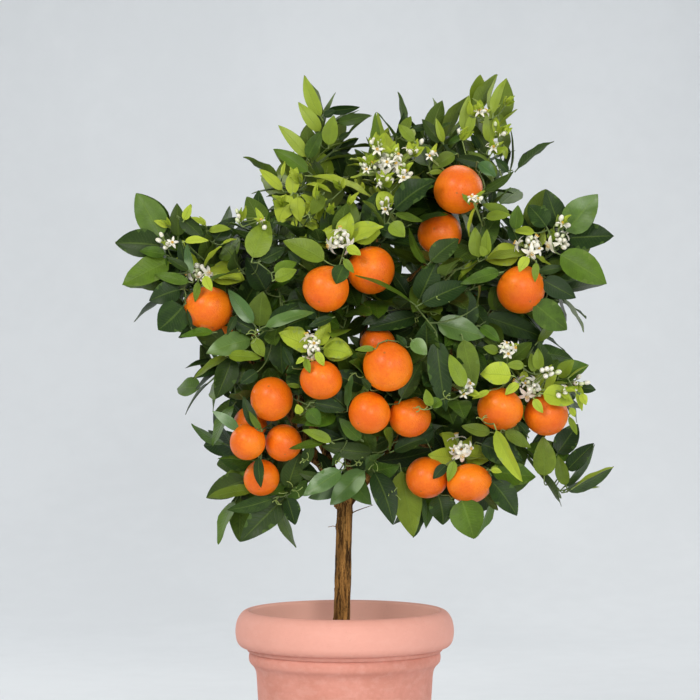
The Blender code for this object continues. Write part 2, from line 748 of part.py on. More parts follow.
def grow_leaf(owner, root, along, sky, length, width, shown=False):
    """A leaf of this spray if there is room for it, else nothing."""
    along = along.normalized()
    up = (sky - along * sky.dot(along)).normalized()
    stations = LEAF_STATIONS if shown and length > YOUNG_LENGTH else KITE_STATIONS
    leaf = blade(root, along, up, length, width, stations)
    if in_a_fruit(leaf[0]) or (not shown and hides_a_fruit(leaf[0])):
        return None
    for lift in (0.0, CLEARANCE, -CLEARANCE):
        room = blade(root + lift * up, along, up, length + CLEARANCE, width + 2 * CLEARANCE, stations)
        if crosses(room, owner, False):
            return None
    outer_root = root + BARE_SHARE * length * along
    outer = blade(outer_root, along, up, (1 - BARE_SHARE) * length, width + 2 * CLEARANCE, stations)
    if crosses(outer, owner, True):
        return None
    put(owner, "leaf", leaf)
    return leaf


def sky_side(root):
    """The way a leaf's upper face looks: up, and out of the crown."""
    out = (root - CROWN_CENTRE).normalized()
    return Vector((0, 0, 0.5)) + out


def aimed_leaf(owner, paths, tip, length, width):
    """A leaf whose tip is where the photograph shows it, from the nearest fitting spot on a shoot."""
    spots = spots_on(paths, LEAF_START, 0.006)
    ranked = sorted(spots, key=lambda spot: abs((spot - tip).length - length))
    for root in ranked[:AIM_TRIES]:
        reach = (tip - root).length
        if not 0.55 * length < reach < 1.6 * length:
            continue
        size = width * min(1.15, max(0.8, reach / length))
        for lean in AIM_LEANS:
            sky = sky_side(root) + lean * Vector((0, -1, 0.2))
            leaf = grow_leaf(owner, root, tip - root, sky, reach, size, True)
            if leaf:
                return leaf
    return None


def leaves_along(owner, path, length, width, draw):
    """Alternate leaves up a shoot, each a golden angle on from the last, and one at its end."""
    leaves = []
    turn = draw.uniform(0, 2 * math.pi)
    total = path_length(path)
    count = max(1, round((total - LEAF_START) / LEAF_SPACING))
    for i in range(count + 1):
        last = i == count
        at, stem = spot_along(path, LEAF_START + (total - LEAF_START) * i / count)
        side = stem.orthogonal().normalized()
        other = stem.cross(side)
        turn += GOLDEN
        size = length * draw.uniform(0.86, 1.12)
        outward = (at - CROWN_CENTRE).normalized()
        for swing in SWINGS:
            out = math.cos(turn + swing) * side + math.sin(turn + swing) * other
            spread = END_SPREAD if last else SIDE_SPREAD
            along = (stem + spread * out + OUTWARD * outward).normalized()
            root = at - ROOT_SUNK * along
            leaf = grow_leaf(owner, root, along, sky_side(root), size, width * size / length)
            if leaf:
                leaves.append(leaf)
                break
    return leaves


def flower(stem_foot, facing, draw):
    """Five petals that spread round a raised middle, on a stalk of its own, as one shape."""
    side = facing.orthogonal().normalized()
    other = facing.cross(side)
    heart = stem_foot + FLOWER_STALK * facing
    first = draw.uniform(0, 2 * math.pi)

    def at(radius, turn, height):
        angle = first + turn * 2 * math.pi / 5
        return heart + radius * (math.cos(angle) * side + math.sin(angle) * other) + height * facing

    points = [heart + 0.0022 * facing]
    for k in range(5):
        points += [
            at(0.0009, k - 0.5, -FLOWER_STALK - 0.001),
            at(0.0012, k - 0.5, -0.0012),
            at(0.0032, k - 0.5, 0.0006),
            at(0.0085, k - PETAL_SPREAD, 0.0),
            at(PETAL_LENGTH, k, -0.0012),
            at(0.0085, k + PETAL_SPREAD, 0.0),
        ]
    faces = [tuple(1 + 6 * k for k in reversed(range(5)))]
    for k in range(5):
        foot, neck, notch, left, tip, right = range(6 * k + 1, 6 * k + 7)
        next_foot, next_neck, next_notch = range(6 * ((k + 1) % 5) + 1, 6 * ((k + 1) % 5) + 4)
        faces.append((foot, next_foot, next_neck, neck))
        edge = [notch, left, tip, right, next_notch]
        faces += [(0, here, there) for here, there in zip(edge, edge[1:])]
        faces += [(neck, left, notch), (neck, tip, left), (neck, next_neck, tip)]
        faces += [(next_neck, right, tip), (next_neck, next_notch, right)]
    return points, faces


def shoot_from(marks):
    """A shoot's path from just off what carries it, square to the end that it meets."""
    start = (marks[1] - marks[0]).normalized()
    foot = marks[0] + SQUARE_END * start
    return [marks[0] + GAP * start] + smooth_path([foot] + marks[1:], 1)


def side_shoot(marks, main):
    """A shoot that starts on the main one, clear of the main one's own foot."""
    if (marks[0] - main[0]).length < SQUARE_END:
        start = (main[1] - main[0]).normalized()
        marks = [main[0] + 2 * SQUARE_END * start] + marks[1:]
    return smooth_path(marks, 1)


def spot_along(path, distance):
    """The point this far along a path, and the way the path runs there."""
    for start, end in zip(path, path[1:]):
        length = (end - start).length
        if distance <= length:
            break
        distance -= length
    way = (end - start).normalized()
    return start + min(distance, length) * way, way


def path_length(path):
    return sum((end - start).length for start, end in zip(path, path[1:]))


def spots_on(paths, first, step):
    """Evenly spaced points on each path, from this far along it."""
    spots = []
    for path in paths:
        count = int((path_length(path) - first - SQUARE_END / 2) / step) + 1
        spots += [spot_along(path, first + step * k)[0] for k in range(count)]
    return spots


def nearest_spot(paths, goal):
    return min(spots_on(paths, 2 * SQUARE_END, 0.004), key=lambda point: (point - goal).length)


def stub_to(paths, marks):
    """A side twig from the nearest spot on these shoots to the end that carries what the marks start."""
    start = (marks[1] - marks[0]).normalized()
    return [nearest_spot(paths, marks[0]), marks[0] - SQUARE_END * start, marks[0]]


# Pot
clay = material("terracotta", (0.83, 0.44, 0.36), 0.75)
rim_top = [(RIM_CREST, POT_HEIGHT)]
pot_outline = [(0, 0)] + POT_OUTSIDE + RIM_OUTSIDE + rim_top + POT_INSIDE + [(0, POT_FLOOR)]
pot = mesh_object("pot", turned(pot_outline, POT_SIDES), clay)
drains = []
for k in range(3):
    angle = 2 * math.pi * k / 3
    spot = Vector((DRAIN_CIRCLE * math.cos(angle), DRAIN_CIRCLE * math.sin(angle), 0))
    through = [spot - Vector((0, 0, POT_FLOOR)), spot + Vector((0, 0, 2 * POT_FLOOR))]
    drains.append(tube(through, [DRAIN_RADIUS] * 2, 8))
boolean(pot, "DIFFERENCE", gathered("drains", drains))
pot.data.shade_smooth()
pot.data.set_sharp_from_angle(angle=math.radians(35))

# Soil, with a plain hole for the trunk's foot
earth = material("soil", (0.10, 0.06, 0.04), 0.95)
wall_top, wall_waist, wall_foot = POT_INSIDE[1], POT_INSIDE[2], POT_INSIDE[3]
soil_edge = SOIL_TOP - 0.002
rise = (soil_edge - wall_waist[1]) / (wall_top[1] - wall_waist[1])
soil_rim = wall_waist[0] + (wall_top[0] - wall_waist[0]) * rise
slack = 1.5 * GAP
soil_outline = [
    (0, POT_FLOOR + GAP),
    (wall_foot[0] - slack, POT_FLOOR + GAP),
    (wall_waist[0] - slack, wall_waist[1]),
    (soil_rim - slack, soil_edge),
    (soil_rim - 0.012, SOIL_TOP),
    (0, SOIL_TOP),
]
soil = mesh_object("soil", turned(soil_outline, POT_SIDES), earth)
hole_foot = Vector((TRUNK_X, 0, TRUNK_FOOT - GAP))
hole_path = [hole_foot, Vector((TRUNK_X, 0, SOIL_TOP + 0.02))]
hole_radius = (FOOT_RADIUS + slack) / math.cos(math.pi / 8)
boolean(soil, "DIFFERENCE", gathered("trunk_hole", [tube(hole_path, [hole_radius] * 2, 8)]))
soil.data.shade_flat()

# Fruits
peel = material("orange_peel", (0.93, 0.30, 0.03), 0.42)
for name in FRUITS:
    shape = fruit_shape(*fruit_place(name))
    fruit = mesh_object(name, shape, peel)
    fruit.data.shade_smooth()
    put(name, "fruit", shape)

# Trunk and limbs
bark = material("bark", (0.33, 0.20, 0.10), 0.85)
fork = seen(345, 503, 0)
trunk_marks = [Vector((TRUNK_X, 0, SOIL_TOP + 0.010))]
trunk_marks += places([(341.6, 618, 0), (343.5, 560, 0), (344.6, 515, 0)]) + [fork]
trunk_path = [Vector((TRUNK_X, 0, TRUNK_FOOT))] + smooth_path(trunk_marks, 2)
trunk_radii = [FOOT_RADIUS] * 2 + tapered(len(trunk_path) - 2, COLLAR_RADIUS, TRUNK_RADIUS)
wood = [tube(trunk_path, trunk_radii, 8)]
for name, thick, marks in LIMBS:
    spray_marks = places(SPRAYS[name][0][0])
    start = (spray_marks[1] - spray_marks[0]).normalized()
    path = smooth_path(places(marks) + [spray_marks[0] - 2 * SQUARE_END * start], 1) + [spray_marks[0]]
    sides = 5 if thick > MAIN_LIMB else 3
    wood.append(tube(path, tapered(len(path), thick, LIMB_END), sides))
for shape in wood:
    put("trunk", "wood", shape)
fused("trunk", wood, bark)

# Twigs of every spray and young shoot, with a stub for all that they carry
twigs = {}
paths = {}
for name, (shoots, _) in SPRAYS.items():
    runs = [shoot_from(places(shoots[0]))]
    for marks in shoots[1:]:
        runs.append(side_shoot(places(marks), places(shoots[0])))
    paths[name] = runs
for name, (host, marks, _) in YOUNG.items():
    paths[name] = [shoot_from(places(marks))]
for name, runs in paths.items():
    thick, thin = YOUNG_RADII if name in YOUNG else (LIMB_END, TWIG_RADIUS)
    twigs[name] = [tube(run, tapered(len(run), thick, thin), 3) for run in runs]
for name, (host, marks, _) in YOUNG.items():
    stub = stub_to(paths[host], places(marks))
    twigs[host].append(tube(stub, tapered(len(stub), *STUB_RADII), 3))
for name, (host, marks, _) in BLOSSOM.items():
    if host in SPRAYS:
        stub = stub_to(paths[host], places(marks))
        twigs[host].append(tube(stub, tapered(len(stub), *STUB_RADII), 3))
for name in FRUITS:
    centre, wide, tall, stem = fruit_place(name)
    host = FRUITS[name][6]
    seat = centre + (tall + GAP) * stem
    root = nearest_spot(paths[host], seat + 2 * STALK_END * stem)
    stalk = [root, seat + STALK_END * stem, seat + CALYX_DEPTH * stem, seat]
    radii = [STALK_RADIUS] * (len(stalk) - 1) + [CALYX_RADIUS]
    twigs[host].append(tube(stalk, radii, 3))
for name, shapes in twigs.items():
    for shape in shapes:
        put(name, "twig", shape)

# Blossom
white = material("petal", (0.93, 0.90, 0.82), 0.5)
for name, (host, marks, count) in BLOSSOM.items():
    draw = random.Random(f"{SEED} {name}")
    foot, end = places(marks)
    if host in YOUNG:
        carrier = places(YOUNG[host][1])
        stalk_way = (carrier[-1] - carrier[-2]).normalized()
        end = foot + BLOSSOM_STALK * stalk_way
    else:
        stalk_way = (end - foot).normalized()
    shapes = [tube([foot + GAP * stalk_way, end], [BLOSSOM_RADIUS] * 2, 4)]
    stalk_side = stalk_way.orthogonal().normalized()
    first_turn = draw.uniform(0, 2 * math.pi)
    blooms = []
    for k in range(count):
        for attempt in range(FLOWER_TRIES):
            tilt = FLOWER_TILTS[attempt % len(FLOWER_TILTS)]
            turn = first_turn + 2 * math.pi * (k + attempt / FLOWER_TRIES) / count
            out = math.cos(turn) * stalk_side + math.sin(turn) * stalk_way.cross(stalk_side)
            facing = math.cos(tilt) * stalk_way + math.sin(tilt) * out
            made = flower(end, facing, draw)
            if crosses(made, name, False) or hides_a_fruit(made[0]):
                continue
            if any((point - taken).length < BLOOM_ROOM for point in made[0][4:] for taken in blooms):
                continue
            blooms.append(end + FLOWER_STALK * facing)
            shapes.append(made)
            break
    for shape in shapes:
        put(name, "flower", shape)
    fused(name, shapes, white)

# Leaves
green = material("leaf", (0.07, 0.16, 0.03), 0.4)
pale_green = material("young_leaf", (0.30, 0.42, 0.07), 0.45)
leaves = {name: [] for name in paths}
for name, (host, _, tips) in YOUNG.items():
    for mark in tips:
        leaf = aimed_leaf(name, paths[name], seen(*mark), YOUNG_LENGTH, YOUNG_WIDTH)
        if leaf:
            leaves[name].append(leaf)
for name, (_, tips) in SPRAYS.items():
    for mark in tips:
        leaf = aimed_leaf(name, paths[name], seen(*mark), LEAF_LENGTH, LEAF_WIDTH)
        if leaf:
            leaves[name].append(leaf)
for name in SPRAYS:
    draw = random.Random(f"{SEED} {name}")
    for path in paths[name]:
        leaves[name] += leaves_along(name, path, LEAF_LENGTH, LEAF_WIDTH, draw)
for name in paths:
    finish = pale_green if name in YOUNG else green
    fused(name, twigs[name] + leaves[name], finish)
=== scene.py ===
"""A small orange tree in a terracotta pot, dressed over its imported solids."""

import itertools
import math
import random

import bmesh
import bpy
import numpy as np
from mathutils import Matrix, Vector, noise
from mathutils.bvhtree import BVHTree


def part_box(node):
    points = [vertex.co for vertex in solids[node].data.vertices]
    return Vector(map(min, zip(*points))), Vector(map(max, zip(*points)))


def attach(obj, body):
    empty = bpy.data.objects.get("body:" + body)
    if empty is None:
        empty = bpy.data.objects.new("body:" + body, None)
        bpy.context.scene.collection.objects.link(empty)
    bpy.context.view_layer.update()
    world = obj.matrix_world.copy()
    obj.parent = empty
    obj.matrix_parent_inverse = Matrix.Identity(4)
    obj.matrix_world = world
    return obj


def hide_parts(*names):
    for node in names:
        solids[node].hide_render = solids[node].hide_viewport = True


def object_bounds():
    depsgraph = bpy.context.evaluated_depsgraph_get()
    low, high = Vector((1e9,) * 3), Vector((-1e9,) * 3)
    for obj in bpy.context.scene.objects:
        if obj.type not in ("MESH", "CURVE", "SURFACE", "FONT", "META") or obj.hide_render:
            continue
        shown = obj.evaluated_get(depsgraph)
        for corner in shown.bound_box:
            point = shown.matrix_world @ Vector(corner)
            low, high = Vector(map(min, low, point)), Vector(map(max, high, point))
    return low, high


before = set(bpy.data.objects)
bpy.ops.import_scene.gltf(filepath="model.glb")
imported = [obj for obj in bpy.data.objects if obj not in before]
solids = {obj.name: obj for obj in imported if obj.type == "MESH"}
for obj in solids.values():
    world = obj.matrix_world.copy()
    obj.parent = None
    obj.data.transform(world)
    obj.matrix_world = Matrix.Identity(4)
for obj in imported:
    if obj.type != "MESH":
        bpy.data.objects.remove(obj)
solid_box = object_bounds()

# The studio: a pale painted floor that sweeps up behind the plant and is clear from its back, one
# large soft lamp high on the left in front, a wide one on the right, a low one in front, one above
# the back and two weak ones low behind. The camera stands level, 3.5 m away.
EYE = Vector((0.00735, -3.5, 0.6333))
PIXEL = 0.0014
MIDDLE = 350
FRAME_WIDE = 36.0
FLOOR_HALF = 7.0
FLOOR_FRONT = -6.0
SWEEP_START = 1.9
SWEEP_RADIUS = 1.4
SWEEP_STEPS = 16
WALL_TOP = 6.0
LAMPS = (
    ("key_lamp", (-1.8, -2.8, 2.45), 1.3, 60.0, (1.0, 0.97, 0.91)),
    ("fill_lamp", (2.6, -2.4, 1.5), 2.4, 26.0, (0.97, 0.98, 1.0)),
    ("low_lamp", (0.6, -3.3, 1.25), 1.2, 36.0, (1.0, 0.98, 0.94)),
    ("back_lamp", (0.4, 1.2, 3.0), 1.8, 24.0, (1.0, 0.98, 0.93)),
    ("far_left_lamp", (-2.3, 1.7, 1.6), 1.4, 14.0, (0.97, 0.98, 1.0)),
    ("far_right_lamp", (2.3, 1.7, 1.6), 1.4, 14.0, (1.0, 0.98, 0.95)),
)
LAMPS_AIM = Vector((0.0, 0.0, 0.6))
SKY_COLOUR = (0.95, 0.975, 1.0, 1)
SKY_STRENGTH = 0.36
WHITE = (1, 1, 1)
BLACK = (0, 0, 0)


def add_node(tree, kind, inputs=None, **settings):
    """A node in a tree, with each input linked where a socket is given and set otherwise."""
    node = tree.nodes.new("ShaderNode" + kind)
    for name, value in settings.items():
        setattr(node, name, value)
    for name, value in (inputs or {}).items():
        feed(tree, node.inputs[name], value)
    return node


def feed(tree, socket, value):
    """Links a socket to a result, or sets it; a colour may be given by three shares."""
    if isinstance(value, bpy.types.NodeSocket):
        tree.links.new(value, socket)
    elif socket.type == "RGBA":
        socket.default_value = (*value[:3], 1)
    else:
        socket.default_value = value


def sums(tree, operation, first, second=0.0, third=0.0):
    """The result of a sum on numbers that change over the surface."""
    return add_node(tree, "Math", {0: first, 1: second, 2: third}, operation=operation).outputs[0]


def times(tree, first, second):
    return sums(tree, "MULTIPLY", first, second)


def blend_colours(tree, share, first, second):
    return add_node(tree, "Mix", {0: share, 6: first, 7: second}, data_type="RGBA").outputs[2]


def spread(tree, value, low, high, to_low=0.0, to_high=1.0):
    """A value taken from one range to another, with a soft start and end."""
    ranges = {"From Min": low, "From Max": high, "To Min": to_low, "To Max": to_high}
    node = add_node(
        tree, "MapRange", {"Value": value, **ranges}, interpolation_type="SMOOTHSTEP"
    )
    return node.outputs["Result"]


def place_on(tree):
    return add_node(tree, "TexCoord").outputs["Object"]


def stretched(tree, place, by):
    return add_node(tree, "VectorMath", {0: place, 1: by}, operation="MULTIPLY").outputs[0]


def clouds(tree, place, scale, detail):
    """Soft cloudy shares from 0 to 1."""
    node = add_node(tree, "TexNoise", {"Vector": place, "Scale": scale, "Detail": detail})
    return node.outputs[0]


def specks(tree, place, scale, feature="F1"):
    """How far each place is from scattered specks, or from the lines between them."""
    node = add_node(tree, "TexVoronoi", {"Vector": place, "Scale": scale}, feature=feature)
    return node.outputs["Distance"]


def new_material(name, roughness):
    made = bpy.data.materials.new(name)
    made.use_nodes = True
    shader = made.node_tree.nodes["Principled BSDF"]
    shader.inputs["Roughness"].default_value = roughness
    return made, made.node_tree, shader


def raise_from(tree, shader, height, distance, strength=1.0):
    bump = add_node(tree, "Bump", {"Height": height, "Distance": distance})
    bump.inputs["Strength"].default_value = strength
    feed(tree, shader.inputs["Normal"], bump.outputs["Normal"])


def new_group(name, inputs, outputs):
    """A shared shader group with named inputs, each a number with its default, and outputs."""
    group = bpy.data.node_groups.new(name, "ShaderNodeTree")
    for title, kind, default in inputs:
        socket = group.interface.new_socket(
            title, in_out="INPUT", socket_type="NodeSocket" + kind
        )
        socket.default_value = default
    for title, kind in outputs:
        group.interface.new_socket(title, in_out="OUTPUT", socket_type="NodeSocket" + kind)
    given = group.nodes.new("NodeGroupInput").outputs
    return group, given, group.nodes.new("NodeGroupOutput").inputs


def use_group(tree, group, inputs):
    node = tree.nodes.new("ShaderNodeGroup")
    node.node_tree = group
    for name, value in inputs.items():
        feed(tree, node.inputs[name], value)
    return node.outputs


mottling, given, result = new_group(
    "mottling",
    [("Pale", "Color", (1, 1, 1, 1)), ("Deep", "Color", (0, 0, 0, 1)), ("Size", "Float", 0.02),
     ("Long", "Float", 1.0)],
    [("Colour", "Color"), ("Mask", "Float"), ("Fine", "Float")],
)
place = place_on(mottling)
along_z = add_node(mottling, "CombineXYZ", {0: 1.0, 1: 1.0})
feed(mottling, along_z.inputs[2], sums(mottling, "DIVIDE", 1.0, given["Long"]))
drawn = stretched(mottling, place, along_z.outputs[0])
scale = sums(mottling, "DIVIDE", 1.0, given["Size"])
broad = clouds(mottling, drawn, scale, 4.0)
fine = clouds(mottling, drawn, times(mottling, scale, 9.0), 3.0)
both = sums(mottling, "ADD", times(mottling, broad, 0.7), times(mottling, fine, 0.3))
mask = spread(mottling, both, 0.36, 0.64)
feed(mottling, result["Mask"], mask)
feed(mottling, result["Fine"], fine)
feed(mottling, result["Colour"], blend_colours(mottling, mask, given["Deep"], given["Pale"]))


def mottled(tree, pale, deep, size, long=1.0):
    """Two tones in patches of a size, drawn out up and down where long is over 1."""
    return use_group(tree, mottling, {"Pale": pale, "Deep": deep, "Size": size, "Long": long})


def patches(tree, size, long=1.0):
    return mottled(tree, WHITE, BLACK, size, long)


def two_tone(name, roughness, pale, deep, size, relief=0.0):
    """A material in two mottled tones, with its fine grain raised where it has a relief."""
    made, tree, shader = new_material(name, roughness)
    tones = mottled(tree, pale, deep, size)
    feed(tree, shader.inputs["Base Color"], tones["Colour"])
    if relief:
        raise_from(tree, shader, tones["Fine"], relief)
    return made, tree, shader


def put_in_scene(name, data):
    made = bpy.data.objects.new(name, data)
    bpy.context.scene.collection.objects.link(made)
    return made


def object_from(name, points, faces, materials, kinds=None):
    """A smooth-shaded object at the origin from points and faces, a material number to each."""
    mesh = bpy.data.meshes.new(name)
    mesh.from_pydata([tuple(point) for point in points], [], faces)
    for made in materials:
        mesh.materials.append(made)
    if kinds is not None:
        mesh.polygons.foreach_set("material_index", np.asarray(kinds, dtype=np.int32))
    mesh.shade_smooth()
    return put_in_scene(name, mesh)


sweep = [(FLOOR_FRONT, 0.0), (SWEEP_START, 0.0)]
for step in range(1, SWEEP_STEPS + 1):
    turn = math.pi / 2 * step / SWEEP_STEPS
    sweep.append(
        (SWEEP_START + SWEEP_RADIUS * math.sin(turn), SWEEP_RADIUS * (1 - math.cos(turn)))
    )
sweep.append((SWEEP_START + SWEEP_RADIUS, WALL_TOP))
floor_paint, tree, shader = two_tone(
    "pale_floor_paint", 0.8, (0.80, 0.83, 0.86), (0.77, 0.80, 0.83), 0.5
)
from_behind = add_node(tree, "NewGeometry").outputs["Backfacing"]
feed(tree, shader.inputs["Alpha"], sums(tree, "SUBTRACT", 1.0, from_behind))
floor = object_from(
    "floor",
    [(x, y, z) for y, z in sweep for x in (-FLOOR_HALF, FLOOR_HALF)],
    [(2 * k, 2 * k + 1, 2 * k + 3, 2 * k + 2) for k in range(len(sweep) - 1)],
    [floor_paint],
)

camera = put_in_scene("camera", bpy.data.cameras.new("camera"))
camera.data.sensor_width = FRAME_WIDE
camera.data.lens = FRAME_WIDE * -EYE.y / (2 * MIDDLE * PIXEL)
camera.location = EYE
camera.rotation_euler = (math.pi / 2, 0, 0)
bpy.context.scene.camera = camera
bpy.context.scene.view_settings.view_transform = "Standard"

for name, spot, size, power, colour in LAMPS:
    lamp = put_in_scene(name, bpy.data.lights.new(name, "AREA"))
    lamp.data.shape = "DISK"
    lamp.data.size = size
    lamp.data.energy = power
    lamp.data.color = colour
    lamp.location = spot
    lamp.rotation_euler = (LAMPS_AIM - Vector(spot)).to_track_quat("-Z", "Y").to_euler()
sky = bpy.data.worlds.new("soft_sky")
sky.use_nodes = True
sky.node_tree.nodes["Background"].inputs["Color"].default_value = SKY_COLOUR
sky.node_tree.nodes["Background"].inputs["Strength"].default_value = SKY_STRENGTH
bpy.context.scene.world = sky

# The pot: one piece of pinkish terracotta, thrown on a wheel and fired without a glaze. Its rim is
# rolled over thick, with two ring mouldings under it, and three holes drain its flat floor.
POT_SIDES = 144
POT_RUNS = (
    ((0.0, 0.0), (0.1055, 0.0)),
    ((0.1055, 0.0), (0.1080, 0.0010), (0.1090, 0.0045)),
    ((0.1090, 0.0045), (0.1120, 0.0370), (0.1152, 0.0730), (0.1183, 0.1100), (0.1211, 0.1430),
     (0.1228, 0.1700)),
    ((0.1228, 0.1700), (0.1234, 0.1790), (0.1248, 0.1866), (0.1278, 0.1922), (0.1312, 0.1958),
     (0.1334, 0.1990), (0.1342, 0.2040), (0.1336, 0.2090), (0.1322, 0.2122)),
    ((0.1322, 0.2122), (0.1345, 0.2126), (0.1362, 0.2140), (0.1373, 0.2162), (0.1374, 0.2188)),
    ((0.1374, 0.2188), (0.1405, 0.2190), (0.1462, 0.2208), (0.1505, 0.2265), (0.1525, 0.2350),
     (0.1527, 0.2440), (0.1512, 0.2535), (0.1478, 0.2615), (0.1424, 0.2676), (0.1362, 0.2700),
     (0.1327, 0.2682), (0.1313, 0.2640), (0.1300, 0.2400), (0.1222, 0.2150), (0.1145, 0.1900)),
    ((0.1145, 0.1900), (0.1012, 0.0160)),
    ((0.1012, 0.0160), (0.1000, 0.0128), (0.0975, 0.0120)),
    ((0.0975, 0.0120), (0.0, 0.0120)),
)
RUN_STEPS = 4
DRAIN_RADIUS = 0.007
DRAIN_CIRCLE = 0.055
DRAINS = 3
DRAIN_DEPTH = (-0.01, 0.03)
THROWN_WOBBLE = 0.00035
THROWN_RADIUS = 0.13
SHARP_CORNER = math.radians(38)
PAINTED_RIM_LIGHT_HEIGHTS = (0.214, 0.232)
MOUTH_WIDE = (0.1310, 0.1350)


def smooth_run(marks, steps):
    """Points on a curve through the marks, straight where there are only two."""
    marks = [Vector(mark) for mark in marks]
    if len(marks) == 2:
        return marks
    points = []
    for i in range(len(marks) - 1):
        a, b, c, d = (marks[min(max(i + k, 0), len(marks) - 1)] for k in (-1, 0, 1, 2))
        for k in range(steps):
            t = k / steps
            points.append(
                0.5 * (2 * b + (c - a) * t + (2 * a - 5 * b + 4 * c - d) * t * t
                       + (3 * b - a - 3 * c + d) * t ** 3)
            )
    points.append(marks[-1])
    return points


def domed_faces(sides, rings, flip=False):
    """Faces of a closed shape of rings, with a corner on its axis before and after them."""
    last = 1 + rings * sides
    faces = []
    for k in range(sides):
        a, b = (k, (k + 1) % sides)[::-1 if flip else 1]
        faces.append((0, 1 + b, 1 + a))
        for low in range(1, last - sides, sides):
            faces.append((low + a, low + b, low + sides + b, low + sides + a))
        faces.append((last - sides + a, last - sides + b, last))
    return faces


def turned(outline, sides):
    """A closed shape turned about Z from an outline that starts and ends on the axis."""
    points = [(0.0, 0.0, outline[0][1])]
    for radius, height in outline[1:-1]:
        for k in range(sides):
            angle = 2 * math.pi * k / sides
            points.append((radius * math.cos(angle), radius * math.sin(angle), height))
    points.append((0.0, 0.0, outline[-1][1]))
    return points, domed_faces(sides, len(outline) - 2)


def evaluated(made):
    """The object's mesh with its modifiers put on, as a new mesh of the same name."""
    depsgraph = bpy.context.evaluated_depsgraph_get()
    mesh = bpy.data.meshes.new_from_object(made.evaluated_get(depsgraph))
    mesh.name = made.name
    return mesh


outline = []
for run in POT_RUNS:
    points = smooth_run(run, RUN_STEPS)
    outline += points if not outline else points[1:]
points, faces = turned(outline, POT_SIDES)
uneven = []
for x, y, z in points:
    lobe = noise.noise(Vector((x * 9, y * 9, z * 5)))
    ridge = noise.noise(Vector((x * 2, y * 2, z * 160)))
    swell = 1 + (THROWN_WOBBLE * lobe + 0.25 * THROWN_WOBBLE * ridge) / THROWN_RADIUS
    uneven.append((x * swell, y * swell, z))
terracotta, tree, shader = new_material("terracotta", 0.72)
clay = mottled(tree, (0.70, 0.300, 0.232), (0.62, 0.245, 0.178), 0.055)
bloom = patches(tree, 0.017, 0.5)["Mask"]
chalk = times(tree, spread(tree, bloom, 0.45, 1.0), 0.22)
colour = blend_colours(tree, chalk, clay["Colour"], (0.78, 0.43, 0.36))
place = place_on(tree)
height = add_node(tree, "SeparateXYZ", {0: place}).outputs[2]
# Painted light: the rolled rim is painted a lighter pink from its foot up, as if lit from above.
painted_rim_light = spread(tree, height, *PAINTED_RIM_LIGHT_HEIGHTS, 0.0, 0.65)
colour = blend_colours(tree, painted_rim_light, colour, (0.86, 0.43, 0.345))
off_axis = stretched(tree, place, (1.0, 1.0, 0.0))
off_axis = add_node(tree, "VectorMath", {0: off_axis}, operation="LENGTH").outputs["Value"]
# Painted light: the inside wall above the soil is painted much lighter, in place of the light that
# the crown's shade keeps from it.
inside = spread(tree, off_axis, *MOUTH_WIDE, 0.85, 0.0)
inside = times(tree, inside, spread(tree, height, 0.213, 0.216))
colour = blend_colours(tree, inside, colour, (1.0, 0.56, 0.45))
pore = spread(tree, specks(tree, place, 420.0), 0.05, 0.22, 1.0, 0.0)
pore = times(tree, pore, spread(tree, clouds(tree, place, 60.0, 1.0), 0.52, 0.62))
colour = blend_colours(tree, times(tree, pore, 0.5), colour, (0.42, 0.17, 0.12))
feed(tree, shader.inputs["Base Color"], colour)
wheel_rings = clouds(tree, stretched(tree, place, (3.0, 3.0, 420.0)), 1.0, 2.0)
grain = sums(tree, "ADD", times(tree, clay["Fine"], 0.7), wheel_rings)
grain = sums(tree, "SUBTRACT", grain, times(tree, pore, 1.2))
raise_from(tree, shader, grain, 0.00035, 0.5)
feed(tree, shader.inputs["Roughness"], spread(tree, clay["Mask"], 0.0, 1.0, 0.66, 0.80))
pot = object_from("pot_body", uneven, faces, [terracotta])
low, high = DRAIN_DEPTH
points, faces = turned([(0, low), (DRAIN_RADIUS, low), (DRAIN_RADIUS, high), (0, high)], 32)
cutters = []
for k in range(DRAINS):
    angle = 2 * math.pi * k / DRAINS
    off = Vector((DRAIN_CIRCLE * math.cos(angle), DRAIN_CIRCLE * math.sin(angle), 0))
    cutter = object_from(f"drain_cutter_{k}", [Vector(p) + off for p in points], faces, [])
    pot.modifiers.new(cutter.name, "BOOLEAN").object = cutter
    cutters.append(cutter)
thrown = evaluated(pot)
pot.modifiers.clear()
pot.data = thrown
thrown.set_sharp_from_angle(angle=SHARP_CORNER)
for cutter in cutters:
    bpy.data.objects.remove(cutter)
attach(pot, "root")
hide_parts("pot")

# The potting soil: dark damp peat that fills the pot to a few centimetres under the rim, pressed
# by hand round the trunk's foot, with crumbs and chips of bark left on top.
SOIL_SIDES = 160
SOIL_RINGS = 46
SOIL_ROUGH = 0.0022
WALL_GAP = 0.0004
RIM_INSIDE = 0.1298
RIM_INSIDE_HEIGHT = 0.2400
RIM_TAPER = 0.31
LEDGE_INSIDE = 0.1145
LEDGE_HEIGHT = 0.19
FLOOR_INSIDE = 0.1015
HOLE_RADIUS = 0.0133
TRUNK_X = -0.0052
TRUNK_FOOT = 0.165
PRESSED_REACH = 0.08
TRUNK_CLEAR = 0.018
CRUMBS = 420
CHIPS = 60
CRUMB_SHAPE = (1.0, 0.8, 0.65)
crumbs_draw = random.Random(11)
soil_low, soil_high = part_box("soil")
outer_top = RIM_INSIDE - (RIM_INSIDE_HEIGHT - soil_high.z) * RIM_TAPER - WALL_GAP


def soil_height(x, y):
    """How high the lumpy surface of the soil lies."""
    lumps = noise.fractal(Vector((x * 60, y * 60, 0.3)), 0.8, 2.1, 4)
    return soil_high.z - 0.0015 + SOIL_ROUGH * lumps


